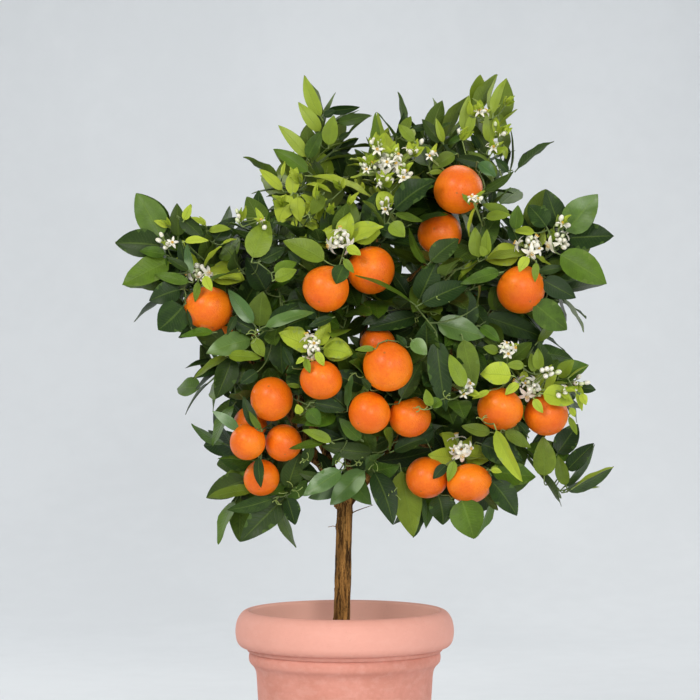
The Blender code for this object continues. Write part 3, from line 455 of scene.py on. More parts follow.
soil_rings = [(HOLE_RADIUS, TRUNK_FOOT)]
for k in range(SOIL_RINGS + 1):
    soil_rings.append((HOLE_RADIUS + (outer_top - HOLE_RADIUS) * (k / SOIL_RINGS), None))
soil_rings += [(LEDGE_INSIDE - WALL_GAP, LEDGE_HEIGHT), (FLOOR_INSIDE - WALL_GAP, soil_low.z)]
soil_points = [(TRUNK_X, 0.0, TRUNK_FOOT)]
for radius, height in soil_rings:
    shift = TRUNK_X * max(0.0, 1 - (radius - HOLE_RADIUS) / (PRESSED_REACH - HOLE_RADIUS))
    for k in range(SOIL_SIDES):
        angle = 2 * math.pi * k / SOIL_SIDES
        x = radius * math.cos(angle) + shift
        y = radius * math.sin(angle)
        soil_points.append((x, y, soil_height(x, y) if height is None else height))
soil_points.append((0.0, 0.0, soil_low.z))
soil_faces = domed_faces(SOIL_SIDES, len(soil_rings), flip=True)
soil_kinds = [0] * len(soil_faces)
nugget = bmesh.new()
bmesh.ops.create_icosphere(nugget, subdivisions=1, radius=1.0)
nugget_points = [v.co.copy() for v in nugget.verts]
nugget_faces = [tuple(v.index for v in f.verts) for f in nugget.faces]
nugget.free()
for number in range(CRUMBS + CHIPS):
    chip = number >= CRUMBS
    radius = math.sqrt(crumbs_draw.uniform(0.03, 0.93)) * outer_top
    angle = crumbs_draw.uniform(0, 2 * math.pi)
    x = radius * math.cos(angle)
    y = radius * math.sin(angle)
    if math.hypot(x - TRUNK_X, y) < TRUNK_CLEAR:
        continue
    big = crumbs_draw.uniform(0.0009, 0.0026)
    shape = CRUMB_SHAPE
    if chip:
        big = crumbs_draw.uniform(0.003, 0.0062)
        shape = (1.0, crumbs_draw.uniform(0.3, 0.6), 0.2)
    turn = Matrix.Rotation(crumbs_draw.uniform(0, 6.3), 3, "Z") @ Matrix.Rotation(
        crumbs_draw.uniform(-0.4, 0.4), 3, "X"
    )
    centre = Vector((x, y, soil_height(x, y) + big * shape[2] * 0.45))
    first = len(soil_points)
    for corner in nugget_points:
        lump = 1 + 0.35 * noise.noise(corner * 1.7 + Vector((number, 0, 0)))
        soil_points.append(
            centre + turn @ Vector([lump * big * s * c for s, c in zip(shape, corner)])
        )
    soil_faces += [tuple(first + i for i in face) for face in nugget_faces]
    soil_kinds += [int(chip)] * len(nugget_faces)
peat = two_tone(
    "damp_peat", 0.95, (0.060, 0.036, 0.022), (0.016, 0.010, 0.007), 0.006, relief=0.0012
)[0]
bark_chip = two_tone(
    "bark_chip", 0.85, (0.20, 0.11, 0.06), (0.07, 0.035, 0.02), 0.004, relief=0.0006
)[0]
soil = object_from("potting_soil", soil_points, soil_faces, [peat, bark_chip], soil_kinds)
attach(soil, "root")
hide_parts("soil")

# The trunk and its limbs: one piece of living wood under thin brown bark, which runs up in ridges
# and cracks with paler streaks. It is knotted where it forks, and its foot stands in the soil.
BARK_VOXEL = 0.0016
BARK_SMOOTHING = 4
BARK_SWELL = 0.00055
LIMBS_START = 0.40
RIDGE_HEIGHT = 0.0007
LIMB_RIDGE = 0.00025
RIDGES = 260.0
DRAWN_OUT = 0.90
KNOTS = (
    ((0.001, -0.011, 0.425), 0.006, 0.0022),
    ((-0.012, -0.004, 0.416), 0.005, 0.0022),
    ((-0.014, -0.004, 0.386), 0.006, 0.0016),
    ((0.010, -0.006, 0.407), 0.005, 0.0016),
    ((0.004, 0.011, 0.395), 0.006, 0.0020),
    ((-0.004, -0.012, 0.331), 0.007, 0.0008),
)
KNOT_REACH = 2.5


def joined_mesh(node):
    """A copy of a solid's mesh with its shared corners made one, as an editable shape."""
    shape = bmesh.new()
    shape.from_mesh(solids[node].data)
    bmesh.ops.remove_doubles(shape, verts=shape.verts, dist=1e-6)
    return shape


def object_of(shape, name):
    """The editable shape as a new object, and the shape itself is let go."""
    mesh = bpy.data.meshes.new(name)
    shape.to_mesh(mesh)
    shape.free()
    return put_in_scene(name, mesh)


def long_way(face):
    """The way of a face's longest edge, which runs along the stem that the face is on."""
    longest = max(face.edges, key=lambda edge: edge.calc_length())
    return (longest.verts[1].co - longest.verts[0].co).normalized()


shape = joined_mesh("trunk")
wood_tree = BVHTree.FromBMesh(shape)
wood_ways = [long_way(face) for face in shape.faces]
trunk = object_of(shape, "trunk_and_limbs")
remesh = trunk.modifiers.new("even_faces", "REMESH")
remesh.mode = "VOXEL"
remesh.voxel_size = BARK_VOXEL
trunk.modifiers.new("rounded", "SMOOTH").iterations = BARK_SMOOTHING
mesh = evaluated(trunk)
trunk.modifiers.clear()
trunk.data = mesh
normals = [v.normal.copy() for v in mesh.vertices]
for vertex, outward in zip(mesh.vertices, normals):
    spot = vertex.co
    low = spot.z < LIMBS_START
    way = Vector((0, 0, 1)) if low else wood_ways[wood_tree.find_nearest(spot)[2]]
    across = spot - way * (DRAWN_OUT * spot.dot(way))
    ridge = noise.noise(across * RIDGES) + 0.6 * noise.noise(across * RIDGES * 2.3)
    crack = max(0.0, abs(noise.noise(across * RIDGES * 0.55 + Vector((3, 1, 2)))) * -6 + 1)
    lift = BARK_SWELL + (RIDGE_HEIGHT if low else LIMB_RIDGE) * (ridge - 0.9 * crack)
    for centre, size, height in KNOTS:
        apart = (spot - Vector(centre)).length / size
        if apart < KNOT_REACH:
            lift += height * math.exp(-apart * apart) * (1 + 0.5 * math.sin(9 * apart))
    vertex.co = spot + outward * lift
mesh.shade_smooth()
bark, tree, shader = new_material("bark", 0.82)
streaks = mottled(tree, (0.50, 0.245, 0.065), (0.095, 0.040, 0.010), 0.006, 9.0)
lichen = patches(tree, 0.012, 3.0)
lichen_share = times(tree, spread(tree, lichen["Mask"], 0.55, 1.0), 0.45)
colour = blend_colours(tree, lichen_share, streaks["Colour"], (0.46, 0.26, 0.075))
along_bark = stretched(tree, place_on(tree), (1.0, 1.0, 0.09))
# The cracks are darkened nearly to black: partly their own darker bark, partly painted shade in
# them.
crack = specks(tree, along_bark, 210.0, feature="DISTANCE_TO_EDGE")
crack = spread(tree, crack, 0.0, 0.10, 1.0, 0.0)
crack = times(tree, crack, spread(tree, lichen["Fine"], 0.42, 0.6))
colour = blend_colours(tree, times(tree, crack, 0.9), colour, (0.028, 0.012, 0.004))
# Long dark streaks up the bark: partly darker bark in its furrows, partly painted shade in them.
dark_furrow_and_shade = patches(tree, 0.0045, 12.0)["Mask"]
dark_furrow_and_shade = times(tree, spread(tree, dark_furrow_and_shade, 0.50, 0.75), 0.85)
colour = blend_colours(tree, dark_furrow_and_shade, colour, (0.030, 0.013, 0.004))
feed(tree, shader.inputs["Base Color"], colour)
shader.inputs["Specular IOR Level"].default_value = 0.15
raise_from(tree, shader, sums(tree, "SUBTRACT", streaks["Fine"], crack), 0.0006)
mesh.materials.clear()
mesh.materials.append(bark)
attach(trunk, "root")
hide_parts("trunk")

# The leafy sprays: green twigs that grow out of the limbs, with the leaves, all grown as one. A
# leaf is a leathery blade, keeled along its midrib and glossy above, on a short stalk.
KITE_STATION = 0.46
LAST_STATION = 0.68
FIRST_STATION = 0.36
FIRST_SHARE = 0.97
LAST_SHARE = 0.78
LIFT = 0.22
KEEL = 0.14
BLADE_THICK = 0.0009
TWIG_SWELL = 0.0006
TWIG_LEVELS = 2
STALK_PART = 0.11
STALK_RADIUS = 0.0009
SHEET = 0.00028
RIB_THICK = 0.0011
SIZE_MATCH = 3e-5
RISE_MATCH = 0.012
SPOT_MATCH = 2e-5
LEAF_CORNER = math.radians(62)
VEINS = 13.0
ZONE_DEPTH = 0.08
LEAF_SPREAD = 1.15
FLAT_ANGLE = 0.03
# Zones of the crown where the leaves are younger, and where they are bluer with more painted sheen.
ZONES = (
    ((300, 150), 90, 0.35, 0.0),
    ((485, 110), 62, 0.50, 0.0),
    ((360, 175), 55, 0.25, 0.0),
    ((210, 255), 30, 0.10, 0.0),
    ((345, 490), 45, 0.0, 0.5),
)
RING_ACROSS = (-1.0, -0.52, 0.0, 0.52, 1.0, 0.52, 0.0, -0.52)
RING_FACE = (0.0, 1.0, 1.0, 1.0, 0.0, -1.0, -1.0, -1.0)
BLADE_STEPS = (0.0, 0.07, 0.17, 0.29, 0.42, 0.55, 0.68, 0.80, 0.90, 0.965)


def blades_of(shape):
    """The leaves of a solid spray, and the corners that only they have."""
    found = []
    corners = set()
    for tip in shape.verts:
        if len(tip.link_edges) != 3:
            continue
        near = [edge.other_vert(tip) for edge in tip.link_edges]
        pair = max(itertools.combinations(near, 2), key=lambda two: (two[0].co - two[1].co).length)
        under = next(v for v in near if v not in pair)
        middle = (pair[0].co + pair[1].co) / 2
        half = (pair[0].co - pair[1].co).length / 2
        lift = middle - under.co
        if abs(lift.length - KEEL * half - BLADE_THICK) > SIZE_MATCH:
            continue
        up = lift.normalized()
        middle -= KEEL * half * up
        side = (pair[0].co - pair[1].co).normalized()
        along = up.cross(side)
        if along.dot(tip.co - middle) < 0:
            along = -along
        reach = along.dot(tip.co - middle)
        rise = up.dot(middle - tip.co) / reach
        if abs(rise - LIFT * KITE_STATION) < RISE_MATCH:
            station, share = KITE_STATION, 1.0
        elif abs(rise - LIFT * LAST_STATION) < RISE_MATCH:
            station, share = LAST_STATION, LAST_SHARE
        else:
            continue
        length = reach / (1 - station)
        width = 2 * half / share
        root = tip.co - length * along
        found.append((root, along, up, length, width))
        corners.update([tip, under, *pair])
        if station == LAST_STATION:
            half = FIRST_SHARE * width / 2
            place = FIRST_STATION
            middle = root + length * (place * along + LIFT * (place - place * place) * up)
            side = along.cross(up)
            marks = [
                middle - half * side + KEEL * half * up,
                middle + half * side + KEEL * half * up,
                middle - BLADE_THICK * up,
            ]
            around = {e.other_vert(v) for v in (under, *pair) for e in v.link_edges}
            corners.update(v for v in around if min((v.co - m).length for m in marks) < SPOT_MATCH)
    return found, corners


def solids_named(start):
    """The names of the solids that start so, in the order of the alphabet."""
    return sorted(name for name in solids if name.startswith(start))


def taken_apart(node):
    """A solid spray's bare twigs with the scars closed, and the leaves that they carry."""
    shape = joined_mesh(node)
    leaves, corners = blades_of(shape)
    bmesh.ops.delete(shape, geom=list(corners), context="VERTS")
    bmesh.ops.holes_fill(shape, edges=shape.edges, sides=0)
    bmesh.ops.triangulate(shape, faces=shape.faces)
    return shape, leaves


def rounded_twigs(shape, name, swell):
    """Soft round stems from the plain solid ones, as points and faces."""
    bmesh.ops.dissolve_limit(
        shape, angle_limit=FLAT_ANGLE, verts=shape.verts, edges=shape.edges, delimit=set()
    )
    for vertex in shape.verts:
        vertex.co += swell * vertex.normal
    made = object_of(shape, name)
    rounding = made.modifiers.new("rounded", "SUBSURF")
    rounding.levels = TWIG_LEVELS
    rounding.render_levels = TWIG_LEVELS
    mesh = evaluated(made)
    bpy.data.objects.remove(made)
    return [v.co.copy() for v in mesh.vertices], [tuple(p.vertices) for p in mesh.polygons]


def turned_way(side, other, turn):
    """The way that lies a turn round from one side towards the other."""
    return math.cos(turn) * side + math.sin(turn) * other


def ringed_faces(sides, rings, pointed=False, flip=False):
    """Faces of a closed shape of rings, flat at its start and flat or pointed at its end."""
    order = 1 if flip else -1
    pairs = [(k, (k + 1) % sides)[::-order] for k in range(sides)]
    faces = [tuple(range(sides))[::order]]
    last = (rings - 1) * sides
    for low in range(0, last, sides):
        faces += [(low + a, low + b, low + sides + b, low + sides + a) for a, b in pairs]
    if pointed:
        return faces + [(last + a, last + b, last + sides) for a, b in pairs]
    return faces + [tuple(range(last, last + sides))]


def leaf_shape(root, along, up, length, width, draw, lift=LIFT, keel=KEEL, wave=1.0):
    """A closed leaf: rings of eight points from its stalk to the last ring, then the tip."""
    side = along.cross(up)
    a, u, s, r = (np.array(way) for way in (along, up, side, root))
    points = []
    for t in (0.0, STALK_PART * 0.5):
        centre = r + length * (t * a + lift * (t - t * t) * u)
        for k in range(8):
            points.append(centre + STALK_RADIUS * turned_way(s, u, math.pi - k * math.pi / 4))
    phase = draw.uniform(0, 6.28)
    waves = draw.uniform(1.6, 2.6)
    height = wave * width * draw.uniform(0.01, 0.045)
    lean = draw.uniform(-0.035, 0.035)
    for step in BLADE_STEPS:
        t = STALK_PART + (1 - STALK_PART) * step
        centre = r + length * (t * a + lift * (t - t * t) * u + lean * math.sin(math.pi * t) * s)
        grown = step ** 0.56 * (1 - step) ** 0.92 / 0.3785
        half = max(width / 2 * grown, STALK_RADIUS)
        for across, face in zip(RING_ACROSS, RING_FACE):
            out = abs(across)
            late = 1.2 if across > 0 else 0
            wavy = height * out * out * math.sin(6.28 * waves * t + phase + late)
            rise = keel * out ** 1.25 * half + wavy * min(1.0, 2.5 * step)
            thick = face * (SHEET if step > 0 else STALK_RADIUS)
            if out == 0.0:
                thick = -RIB_THICK * (1 - 0.7 * step) if face < 0 else 0.0
            points.append(centre + across * half * s + (rise + thick) * u)
    points.append(r + length * a)
    return points


leaf_faces = ringed_faces(8, 2 + len(BLADE_STEPS), pointed=True)
leaf_kinds = [0] * (1 + 2 * 8) + ([1] * 4 + [2] * 4) * len(BLADE_STEPS)
leaf_places = [(0.5 + 0.5 * across, 0.0) for across in RING_ACROSS] * 2
leaf_places += [(0.5 + 0.5 * across, step) for step in BLADE_STEPS for across in RING_ACROSS]
leaf_places += [(0.5, 1.0)]


class Foliage:
    """Twigs and leaves gathered for one piece."""

    def __init__(self):
        self.points = []
        self.faces = []
        self.kinds = []
        self.places = []
        self.looks = []

    def add_shape(self, points, faces, kinds, places, look):
        first = len(self.points)
        self.points += points
        self.faces += [tuple(first + i for i in face) for face in faces]
        self.kinds += kinds
        self.places += places
        self.looks += [look] * len(points)

    def add_leaf(self, root, along, up, length, width, draw, look, **bend):
        points = leaf_shape(root, along, up, length, width, draw, **bend)
        self.add_shape(points, leaf_faces, leaf_kinds, leaf_places, look)

    def add_bare(self, points, faces, kind, look):
        self.add_shape(points, faces, [kind] * len(faces), [(0.5, 0.0)] * len(points), look)

    def add_tube(self, path, radii, sides, kind, look):
        self.add_bare(*tube(path, radii, sides), kind, look)

    def piece(self, name, materials, slot, *replaced):
        made = object_from(name, self.points, self.faces, materials, self.kinds)
        mesh = made.data
        corners = np.empty(len(mesh.loops), dtype=np.int32)
        mesh.loops.foreach_get("vertex_index", corners)
        layer = mesh.uv_layers.new(name="blade")
        layer.uv.foreach_set("vector", np.asarray(self.places, dtype=np.float32)[corners].ravel())
        look = mesh.color_attributes.new("look", "FLOAT_COLOR", "POINT")
        look.data.foreach_set("color", np.asarray(self.looks, dtype=np.float32).ravel())
        mesh.set_sharp_from_angle(angle=LEAF_CORNER)
        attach(made, "root")
        if replaced:
            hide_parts(*replaced)


def tube(path, radii, sides):
    """A closed tube round a path, its ends cut square."""
    points = []
    side = None
    for i, centre in enumerate(path):
        along = (path[min(i + 1, len(path) - 1)] - path[max(i - 1, 0)]).normalized()
        if side is None:
            side = along.orthogonal()
        side = (side - along * side.dot(along)).normalized()
        other = along.cross(side)
        for k in range(sides):
            points.append(centre + radii[i] * turned_way(side, other, 2 * math.pi * k / sides))
    return points, ringed_faces(sides, len(path))


def pixel_of(spot):
    """Where the camera sees a point, in the photograph's pixels."""
    scale = PIXEL * (spot.y - EYE.y) / -EYE.y
    return MIDDLE + (spot.x - EYE.x) / scale, MIDDLE - (spot.z - EYE.z) / scale


def leaf_look(spot, draw, young=0.0):
    """A leaf's colour: how young it is, how light, and how blue and glossy, with painted sheen."""
    across, down = pixel_of(spot)
    youth = young
    bluish_gloss_and_sheen = 0.0
    for (x, y), reach, more, bluer in ZONES:
        near = max(0.0, 1 - math.hypot(across - x, down - y) / reach)
        if spot.y < ZONE_DEPTH:
            youth += more * min(1.0, 1.6 * near)
            bluish_gloss_and_sheen += bluer * min(1.0, 1.6 * near)
    youth += draw.gauss(0, 0.10)
    light = 0.85 * draw.random() ** 1.5
    if young:
        light = 0.40 + 0.6 * light
    return (min(1.0, max(0.0, youth)), light, min(1.0, max(0.0, bluish_gloss_and_sheen)), 1.0)


blade_veins, given, result = new_group(
    "blade veins", [("Count", "Float", VEINS)], [("Veins", "Float"), ("Midrib", "Float")]
)
place = add_node(blade_veins, "UVMap", uv_map="blade").outputs["UV"]
across, along = list(add_node(blade_veins, "SeparateXYZ", {0: place}).outputs)[:2]
out = sums(blade_veins, "ABSOLUTE", sums(blade_veins, "MULTIPLY_ADD", across, 2.0, -1.0))
swept = sums(blade_veins, "SUBTRACT", along, times(blade_veins, out, 0.17))
wobble = clouds(blade_veins, place, 9.0, 1.0)
swept = sums(blade_veins, "MULTIPLY_ADD", wobble, 0.03, swept)
turns = sums(blade_veins, "FRACT", times(blade_veins, swept, given["Count"]))
line = sums(blade_veins, "ABSOLUTE", sums(blade_veins, "SUBTRACT", turns, 0.5))
line = spread(blade_veins, line, 0.0, 0.16, 1.0, 0.0)
fade = spread(blade_veins, out, 0.55, 0.98, 1.0, 0.0)
feed(blade_veins, result["Veins"], times(blade_veins, line, fade))
feed(blade_veins, result["Midrib"], spread(blade_veins, out, 0.02, 0.10, 1.0, 0.0))


def leaf_material(name, deep, light, young, young_light, vein, share, rib, roughness, coat, bump):
    """A leaf's skin: green by its age and light, with veins, a paler midrib and painted sheen."""
    made, tree, shader = new_material(name, roughness)
    look = add_node(tree, "Attribute", attribute_name="look").outputs["Color"]
    age, light_share, bluish_gloss_and_sheen = list(add_node(tree, "SeparateColor", {0: look}).outputs)[:3]
    veins = use_group(tree, blade_veins, {"Count": VEINS})
    blotches = patches(tree, 0.014)
    mixed = sums(tree, "MULTIPLY_ADD", blotches["Mask"], 0.25, light_share)
    grown = blend_colours(tree, spread(tree, mixed, 0.1, 1.15), deep, light)
    grown = blend_colours(tree, times(tree, bluish_gloss_and_sheen, 0.75), grown, (0.062, 0.145, 0.055))
    fresh = blend_colours(tree, mixed, young, young_light)
    # Painted sheen: soft pale patches that stand in for the reflection of the sky, the more on the
    # bluer leaves.
    painted_sheen = spread(tree, clouds(tree, place_on(tree), 42.0, 0.0), 0.48, 0.72, 0.0, 0.75)
    painted_sheen = times(tree, painted_sheen, spread(tree, bluish_gloss_and_sheen, 0.0, 0.7))
    grown = blend_colours(tree, painted_sheen, grown, (0.24, 0.34, 0.19))
    colour = blend_colours(tree, age, grown, fresh)
    colour = blend_colours(tree, times(tree, veins["Veins"], share), colour, vein)
    colour = blend_colours(tree, times(tree, veins["Midrib"], rib), colour, vein)
    feed(tree, shader.inputs["Base Color"], colour)
    rough = spread(tree, blotches["Fine"], 0.3, 0.7, roughness - 0.06, roughness + 0.08)
    feed(tree, shader.inputs["Roughness"], rough)
    shader.inputs["Specular IOR Level"].default_value = 0.17
    feed(tree, shader.inputs["Coat Weight"], sums(tree, "MULTIPLY_ADD", bluish_gloss_and_sheen, 12 * coat, coat))
    shader.inputs["Coat Roughness"].default_value = 0.28
    relief = sums(tree, "MULTIPLY_ADD", blotches["Fine"], 0.35, veins["Veins"])
    relief = sums(tree, "MULTIPLY_ADD", veins["Midrib"], 1.5, relief)
    raise_from(tree, shader, relief, bump)
    return made


leaf_above = leaf_material(
    "leaf_upper_side", (0.012, 0.032, 0.005), (0.075, 0.158, 0.010), (0.240, 0.350, 0.018),
    (0.430, 0.520, 0.045), (0.170, 0.260, 0.035), 0.06, 0.22, 0.42, 0.04, -0.00018,
)
leaf_below = leaf_material(
    "leaf_under_side", (0.048, 0.092, 0.016), (0.110, 0.180, 0.026), (0.230, 0.320, 0.045),
    (0.360, 0.450, 0.080), (0.220, 0.300, 0.075), 0.20, 0.45, 0.60, 0.0, 0.00035,
)
green_twig, tree, shader = new_material("green_twig", 0.6)
look = add_node(tree, "Attribute", attribute_name="look").outputs["Color"]
age = add_node(tree, "SeparateColor", {0: look}).outputs[0]
streaked = mottled(tree, (0.130, 0.190, 0.045), (0.070, 0.105, 0.028), 0.006, 3.0)
colour = blend_colours(tree, age, streaked["Colour"], (0.28, 0.37, 0.09))
feed(tree, shader.inputs["Base Color"], colour)
raise_from(tree, shader, streaked["Fine"], 0.0003)
green_parts = [green_twig, leaf_above, leaf_below]

sprays = solids_named("spray_")
bodies = {}
roots = []
leaf_draw = random.Random(23)
for name in sprays:
    shape, leaves = taken_apart(name)
    for face in shape.faces:
        middle = face.calc_center_median()
        roots.append((name, middle, long_way(face), face.normal.copy(), face.calc_area()))
    body = Foliage()
    body.add_bare(*rounded_twigs(shape, name + "_twigs", TWIG_SWELL), 0, (0.0, 0.5, 0.0, 1.0))
    for root, along, up, length, width in leaves:
        look = leaf_look(root + along * length / 2, leaf_draw)
        body.add_leaf(root, along, up, length, width * LEAF_SPREAD, leaf_draw, look)
    bodies[name] = body

# The young shoots: short soft stems with small thin leaves, still yellow-green, which push out
# among the blossom in spring. Each is grown as one with the stem that it stands on.
YOUNG_SPREAD = 1.4
YOUNG_SWELL = 0.0004
YOUNG_WAVE = 1.5
YOUNG_LOOK = 0.95
young_draw = random.Random(5)

for name in solids_named("young_"):
    shape, leaves = taken_apart(name)
    stems = rounded_twigs(shape, name + "_stem", YOUNG_SWELL)
    body = Foliage()
    body.add_bare(*stems, 0, (YOUNG_LOOK, 0.5, 0.0, 1.0))
    for root, along, up, length, width in leaves:
        look = leaf_look(root + along * length / 2, young_draw, YOUNG_LOOK)
        width *= YOUNG_SPREAD
        body.add_leaf(root, along, up, length, width, young_draw, look, wave=YOUNG_WAVE)
    body.piece(name.replace("young", "young_shoot"), green_parts, "young_leaf", name)

# The blossom: waxy white flowers in clusters, each with five narrow petals that bend back, a ring
# of white stamens with yellow heads round a pale style, and a green cup. Round buds wait by them.
PETALS = 5
PETAL_LENGTH = 0.0125
PETAL_WIDTH = 0.0062
PETAL_STEPS = (0.0, 0.12, 0.3, 0.5, 0.7, 0.87, 0.97)
PETAL_ACROSS = (-1.0, -0.45, 0.45, 1.0, 0.45, -0.45)
PETAL_FACE = (0.0, 1.0, 1.0, 0.0, -1.0, -1.0)
PETAL_THICK = 0.00022
FLOWER_STALK = 0.015
STAMENS = 12
STAMEN_HEIGHT = 0.0058
EXTRA_FLOWERS = {
    "blossom_left": 14, "blossom_upper": 15, "blossom_centre": 15, "blossom_top": 24,
    "blossom_right": 20, "blossom_right_low": 20, "blossom_low": 15, "blossom_right_outer": 14,
}
BUD_SHARE = 0.5
WHITE_BUD = 0.0028
HEART_REACH = 0.0098
PETAL_FOOT = 0.0012
BLOOM_GAP = 0.72
BLOOM_STEM = (0.8, 0.5, 0.0, 1.0)
CROWN_CENTRE = Vector((0.03, 0.0, 0.62))
CROWN_DEPTH = 0.75
flower_draw = random.Random(17)

petal_white, tree, shader = two_tone(
    "petal_white", 0.5, (0.88, 0.86, 0.77), (0.78, 0.75, 0.60), 0.004, relief=0.0002
)
shader.inputs["Subsurface Weight"].default_value = 0.15
shader.inputs["Subsurface Radius"].default_value = (0.003, 0.003, 0.002)
pollen_yellow = two_tone("pollen_yellow", 0.8, (0.85, 0.58, 0.10), (0.62, 0.36, 0.04), 0.001)[0]
bud_cream = two_tone(
    "bud_cream", 0.5, (0.78, 0.80, 0.56), (0.58, 0.66, 0.34), 0.004, relief=0.0002
)[0]
blossom_parts = [green_twig, petal_white, pollen_yellow, bud_cream]


def round_head(centre, axis, long, wide, sides, rings):
    """A small egg about an axis, as points and faces."""
    side = axis.orthogonal().normalized()
    other = axis.cross(side)
    points = [centre - long * axis]
    for ring in range(1, rings):
        angle = math.pi * ring / rings
        for k in range(sides):
            out = turned_way(side, other, 2 * math.pi * k / sides)
            points.append(centre - long * math.cos(angle) * axis + wide * math.sin(angle) * out)
    points.append(centre + long * axis)
    return points, domed_faces(sides, rings - 1)


def petal(heart, out, facing, length, width, bend):
    """A closed petal from the flower's heart: it rises a little, then bends back."""
    side = out.cross(facing)
    points = []
    for step in PETAL_STEPS:
        t = PETAL_FOOT + length * step
        rise = 0.0012 * math.sin(2.4 * step) - bend * step ** 2.6
        half = width / 2 * max(0.28, math.sin(math.pi * min(1.0, 0.16 + 0.84 * step)) ** 0.7)
        if step > 0.9:
            half = width / 2 * 0.40
        for across, face in zip(PETAL_ACROSS, PETAL_FACE):
            cup = 0.0011 * across * across * (1 - 0.5 * step)
            points.append(
                heart + t * out + across * half * side + (rise + cup + face * PETAL_THICK) * facing
            )
    points.append(
        heart + (PETAL_FOOT + length * 1.02) * out + (0.0006 - bend * 1.05) * facing
    )
    return points, ringed_faces(len(PETAL_ACROSS), len(PETAL_STEPS), pointed=True, flip=True)


def add_flower(body, foot, facing, side, draw, size=1.0):
    """An open flower on its stalk."""
    green = (0.8, draw.random(), 0.0, 1.0)
    heart = foot + size * FLOWER_STALK * facing
    body.add_tube([foot, heart - 0.0035 * size * facing], [0.0008, 0.0009], 6, 0, green)
    cup = [heart - size * low * facing for low in (0.0040, 0.0030, 0.0008)]
    body.add_tube(cup, [size * wide for wide in (0.0010, 0.0021, 0.0025)], 8, 0, green)
    other = facing.cross(side)
    for k in range(PETALS):
        out = turned_way(side, other, 2 * math.pi * k / PETALS)
        long = size * PETAL_LENGTH * draw.uniform(0.9, 1.04)
        bend = size * draw.uniform(0.001, 0.0042)
        body.add_bare(*petal(heart, out, facing, long, size * PETAL_WIDTH, bend), 1, green)
    for k in range(STAMENS):
        out = turned_way(side, other, 2 * math.pi * (k + 0.5) / STAMENS)
        tall = size * STAMEN_HEIGHT * draw.uniform(0.85, 1.1)
        low = heart + 0.0012 * size * out
        high = heart + 0.0026 * size * out + tall * facing
        body.add_tube([low, high], [0.0004, 0.00026], 4, 1, green)
        body.add_bare(*round_head(high + 0.0005 * facing, facing, 0.0010, 0.0005, 5, 3), 2, green)
    style = [heart, heart + 0.0050 * size * facing, heart + 0.0064 * size * facing]
    body.add_tube(style, [0.0009, 0.0006, 0.0007], 6, 1, green)
    head = round_head(heart + 0.0068 * size * facing, facing, 0.0009, 0.0012, 7, 4)
    body.add_bare(*head, 2, green)


def add_bud(body, foot, facing, long, draw):
    """A closed bud on its stalk."""
    green = (0.8, draw.random(), 0.0, 1.0)
    low = foot + long * facing
    size = draw.uniform(0.0022, 0.0036)
    body.add_tube([foot, low], [0.0008, 0.0009], 6, 0, green)
    cup = [low - 0.0008 * facing, low + 0.0004 * facing, low + 0.0018 * facing]
    body.add_tube(cup, [0.0010, 0.8 * size, 0.9 * size], 8, 0, green)
    head = round_head(low + (0.0006 + 1.35 * size) * facing, facing, 1.5 * size, size, 10, 8)
    body.add_bare(*head, 1 if size > WHITE_BUD else 3, green)


carrier_trees = {}
for name in solids:
    if name.startswith(("spray_", "young_")):
        shape = taken_apart(name)[0]
        carrier_trees[name] = BVHTree.FromBMesh(shape)
        shape.free()


def stem_near(spot):
    """The nearest point on any bare stem."""
    found = [stems.find_nearest(spot) for stems in carrier_trees.values()]
    return min((f for f in found if f[0] is not None), key=lambda f: f[3])[0]


def any_way(draw):
    while True:
        way = Vector([draw.uniform(-1, 1) for _ in range(3)])
        if 0.05 < way.length < 1:
            return way.normalized()


def outward_from(spot):
    """Away from the crown's middle, leaning more to the front or back."""
    way = spot - CROWN_CENTRE
    way.y /= CROWN_DEPTH
    return way.normalized()


def add_cluster(body, foot, count, draw, taken, buds=BUD_SHARE):
    """More flowers and buds that fan out from one foot, clear of those that are there."""
    for _ in range(count * 8):
        if count == 0:
            break
        facing = outward_from(foot) + Vector((0, -0.75, 0.25)) + 0.95 * any_way(draw)
        facing = facing.normalized()
        bud = draw.random() < buds
        base = foot + draw.uniform(0.0, 0.008) * any_way(draw)
        long = draw.uniform(0.004, 0.012)
        size = draw.uniform(0.45, 0.78)
        spot = base + (long + 0.004 if bud else size * FLOWER_STALK) * facing
        reach = 0.0038 if bud else 0.0092 * size
        if any((spot - other).length < BLOOM_GAP * (reach + far) for other, far in taken):
            continue
        taken.append((spot, reach))
        count -= 1
        stem = stem_near(base)
        body.add_tube([stem, base], [0.0009, 0.0008], 6, 0, BLOOM_STEM)
        if bud:
            add_bud(body, base, facing, long, draw)
        else:
            first = facing.orthogonal().normalized()
            add_flower(body, base, facing, first, draw, size)


taken = []
for name in solids_named("blossom_"):
    shape = joined_mesh(name)
    flowers = []
    for top in shape.verts:
        if len(top.link_edges) == 4 * PETALS:
            around = [edge.other_vert(top).co for edge in top.link_edges]
            tips = sorted(around, key=lambda co: -(co - top.co).length)[:PETALS]
            facing = (top.co - sum(tips, Vector()) / PETALS).normalized()
            first = tips[0] - top.co
            first = (first - facing * facing.dot(first)).normalized()
            heart = top.co - 0.0022 * facing
            flowers.append((heart - FLOWER_STALK * facing, facing, first))
            taken.append((heart, HEART_REACH))
    shape.free()
    body = Foliage()
    for foot, facing, first in flowers:
        body.add_tube([stem_near(foot), foot], [0.0010, 0.0009], 6, 0, BLOOM_STEM)
        add_flower(body, foot, facing, first, flower_draw)
    middle = sum((foot for foot, _, _ in flowers), Vector()) / max(1, len(flowers))
    add_cluster(body, middle, EXTRA_FLOWERS[name], flower_draw, taken)
    body.piece(name.replace("blossom", "flowers"), blossom_parts, "petal", name)

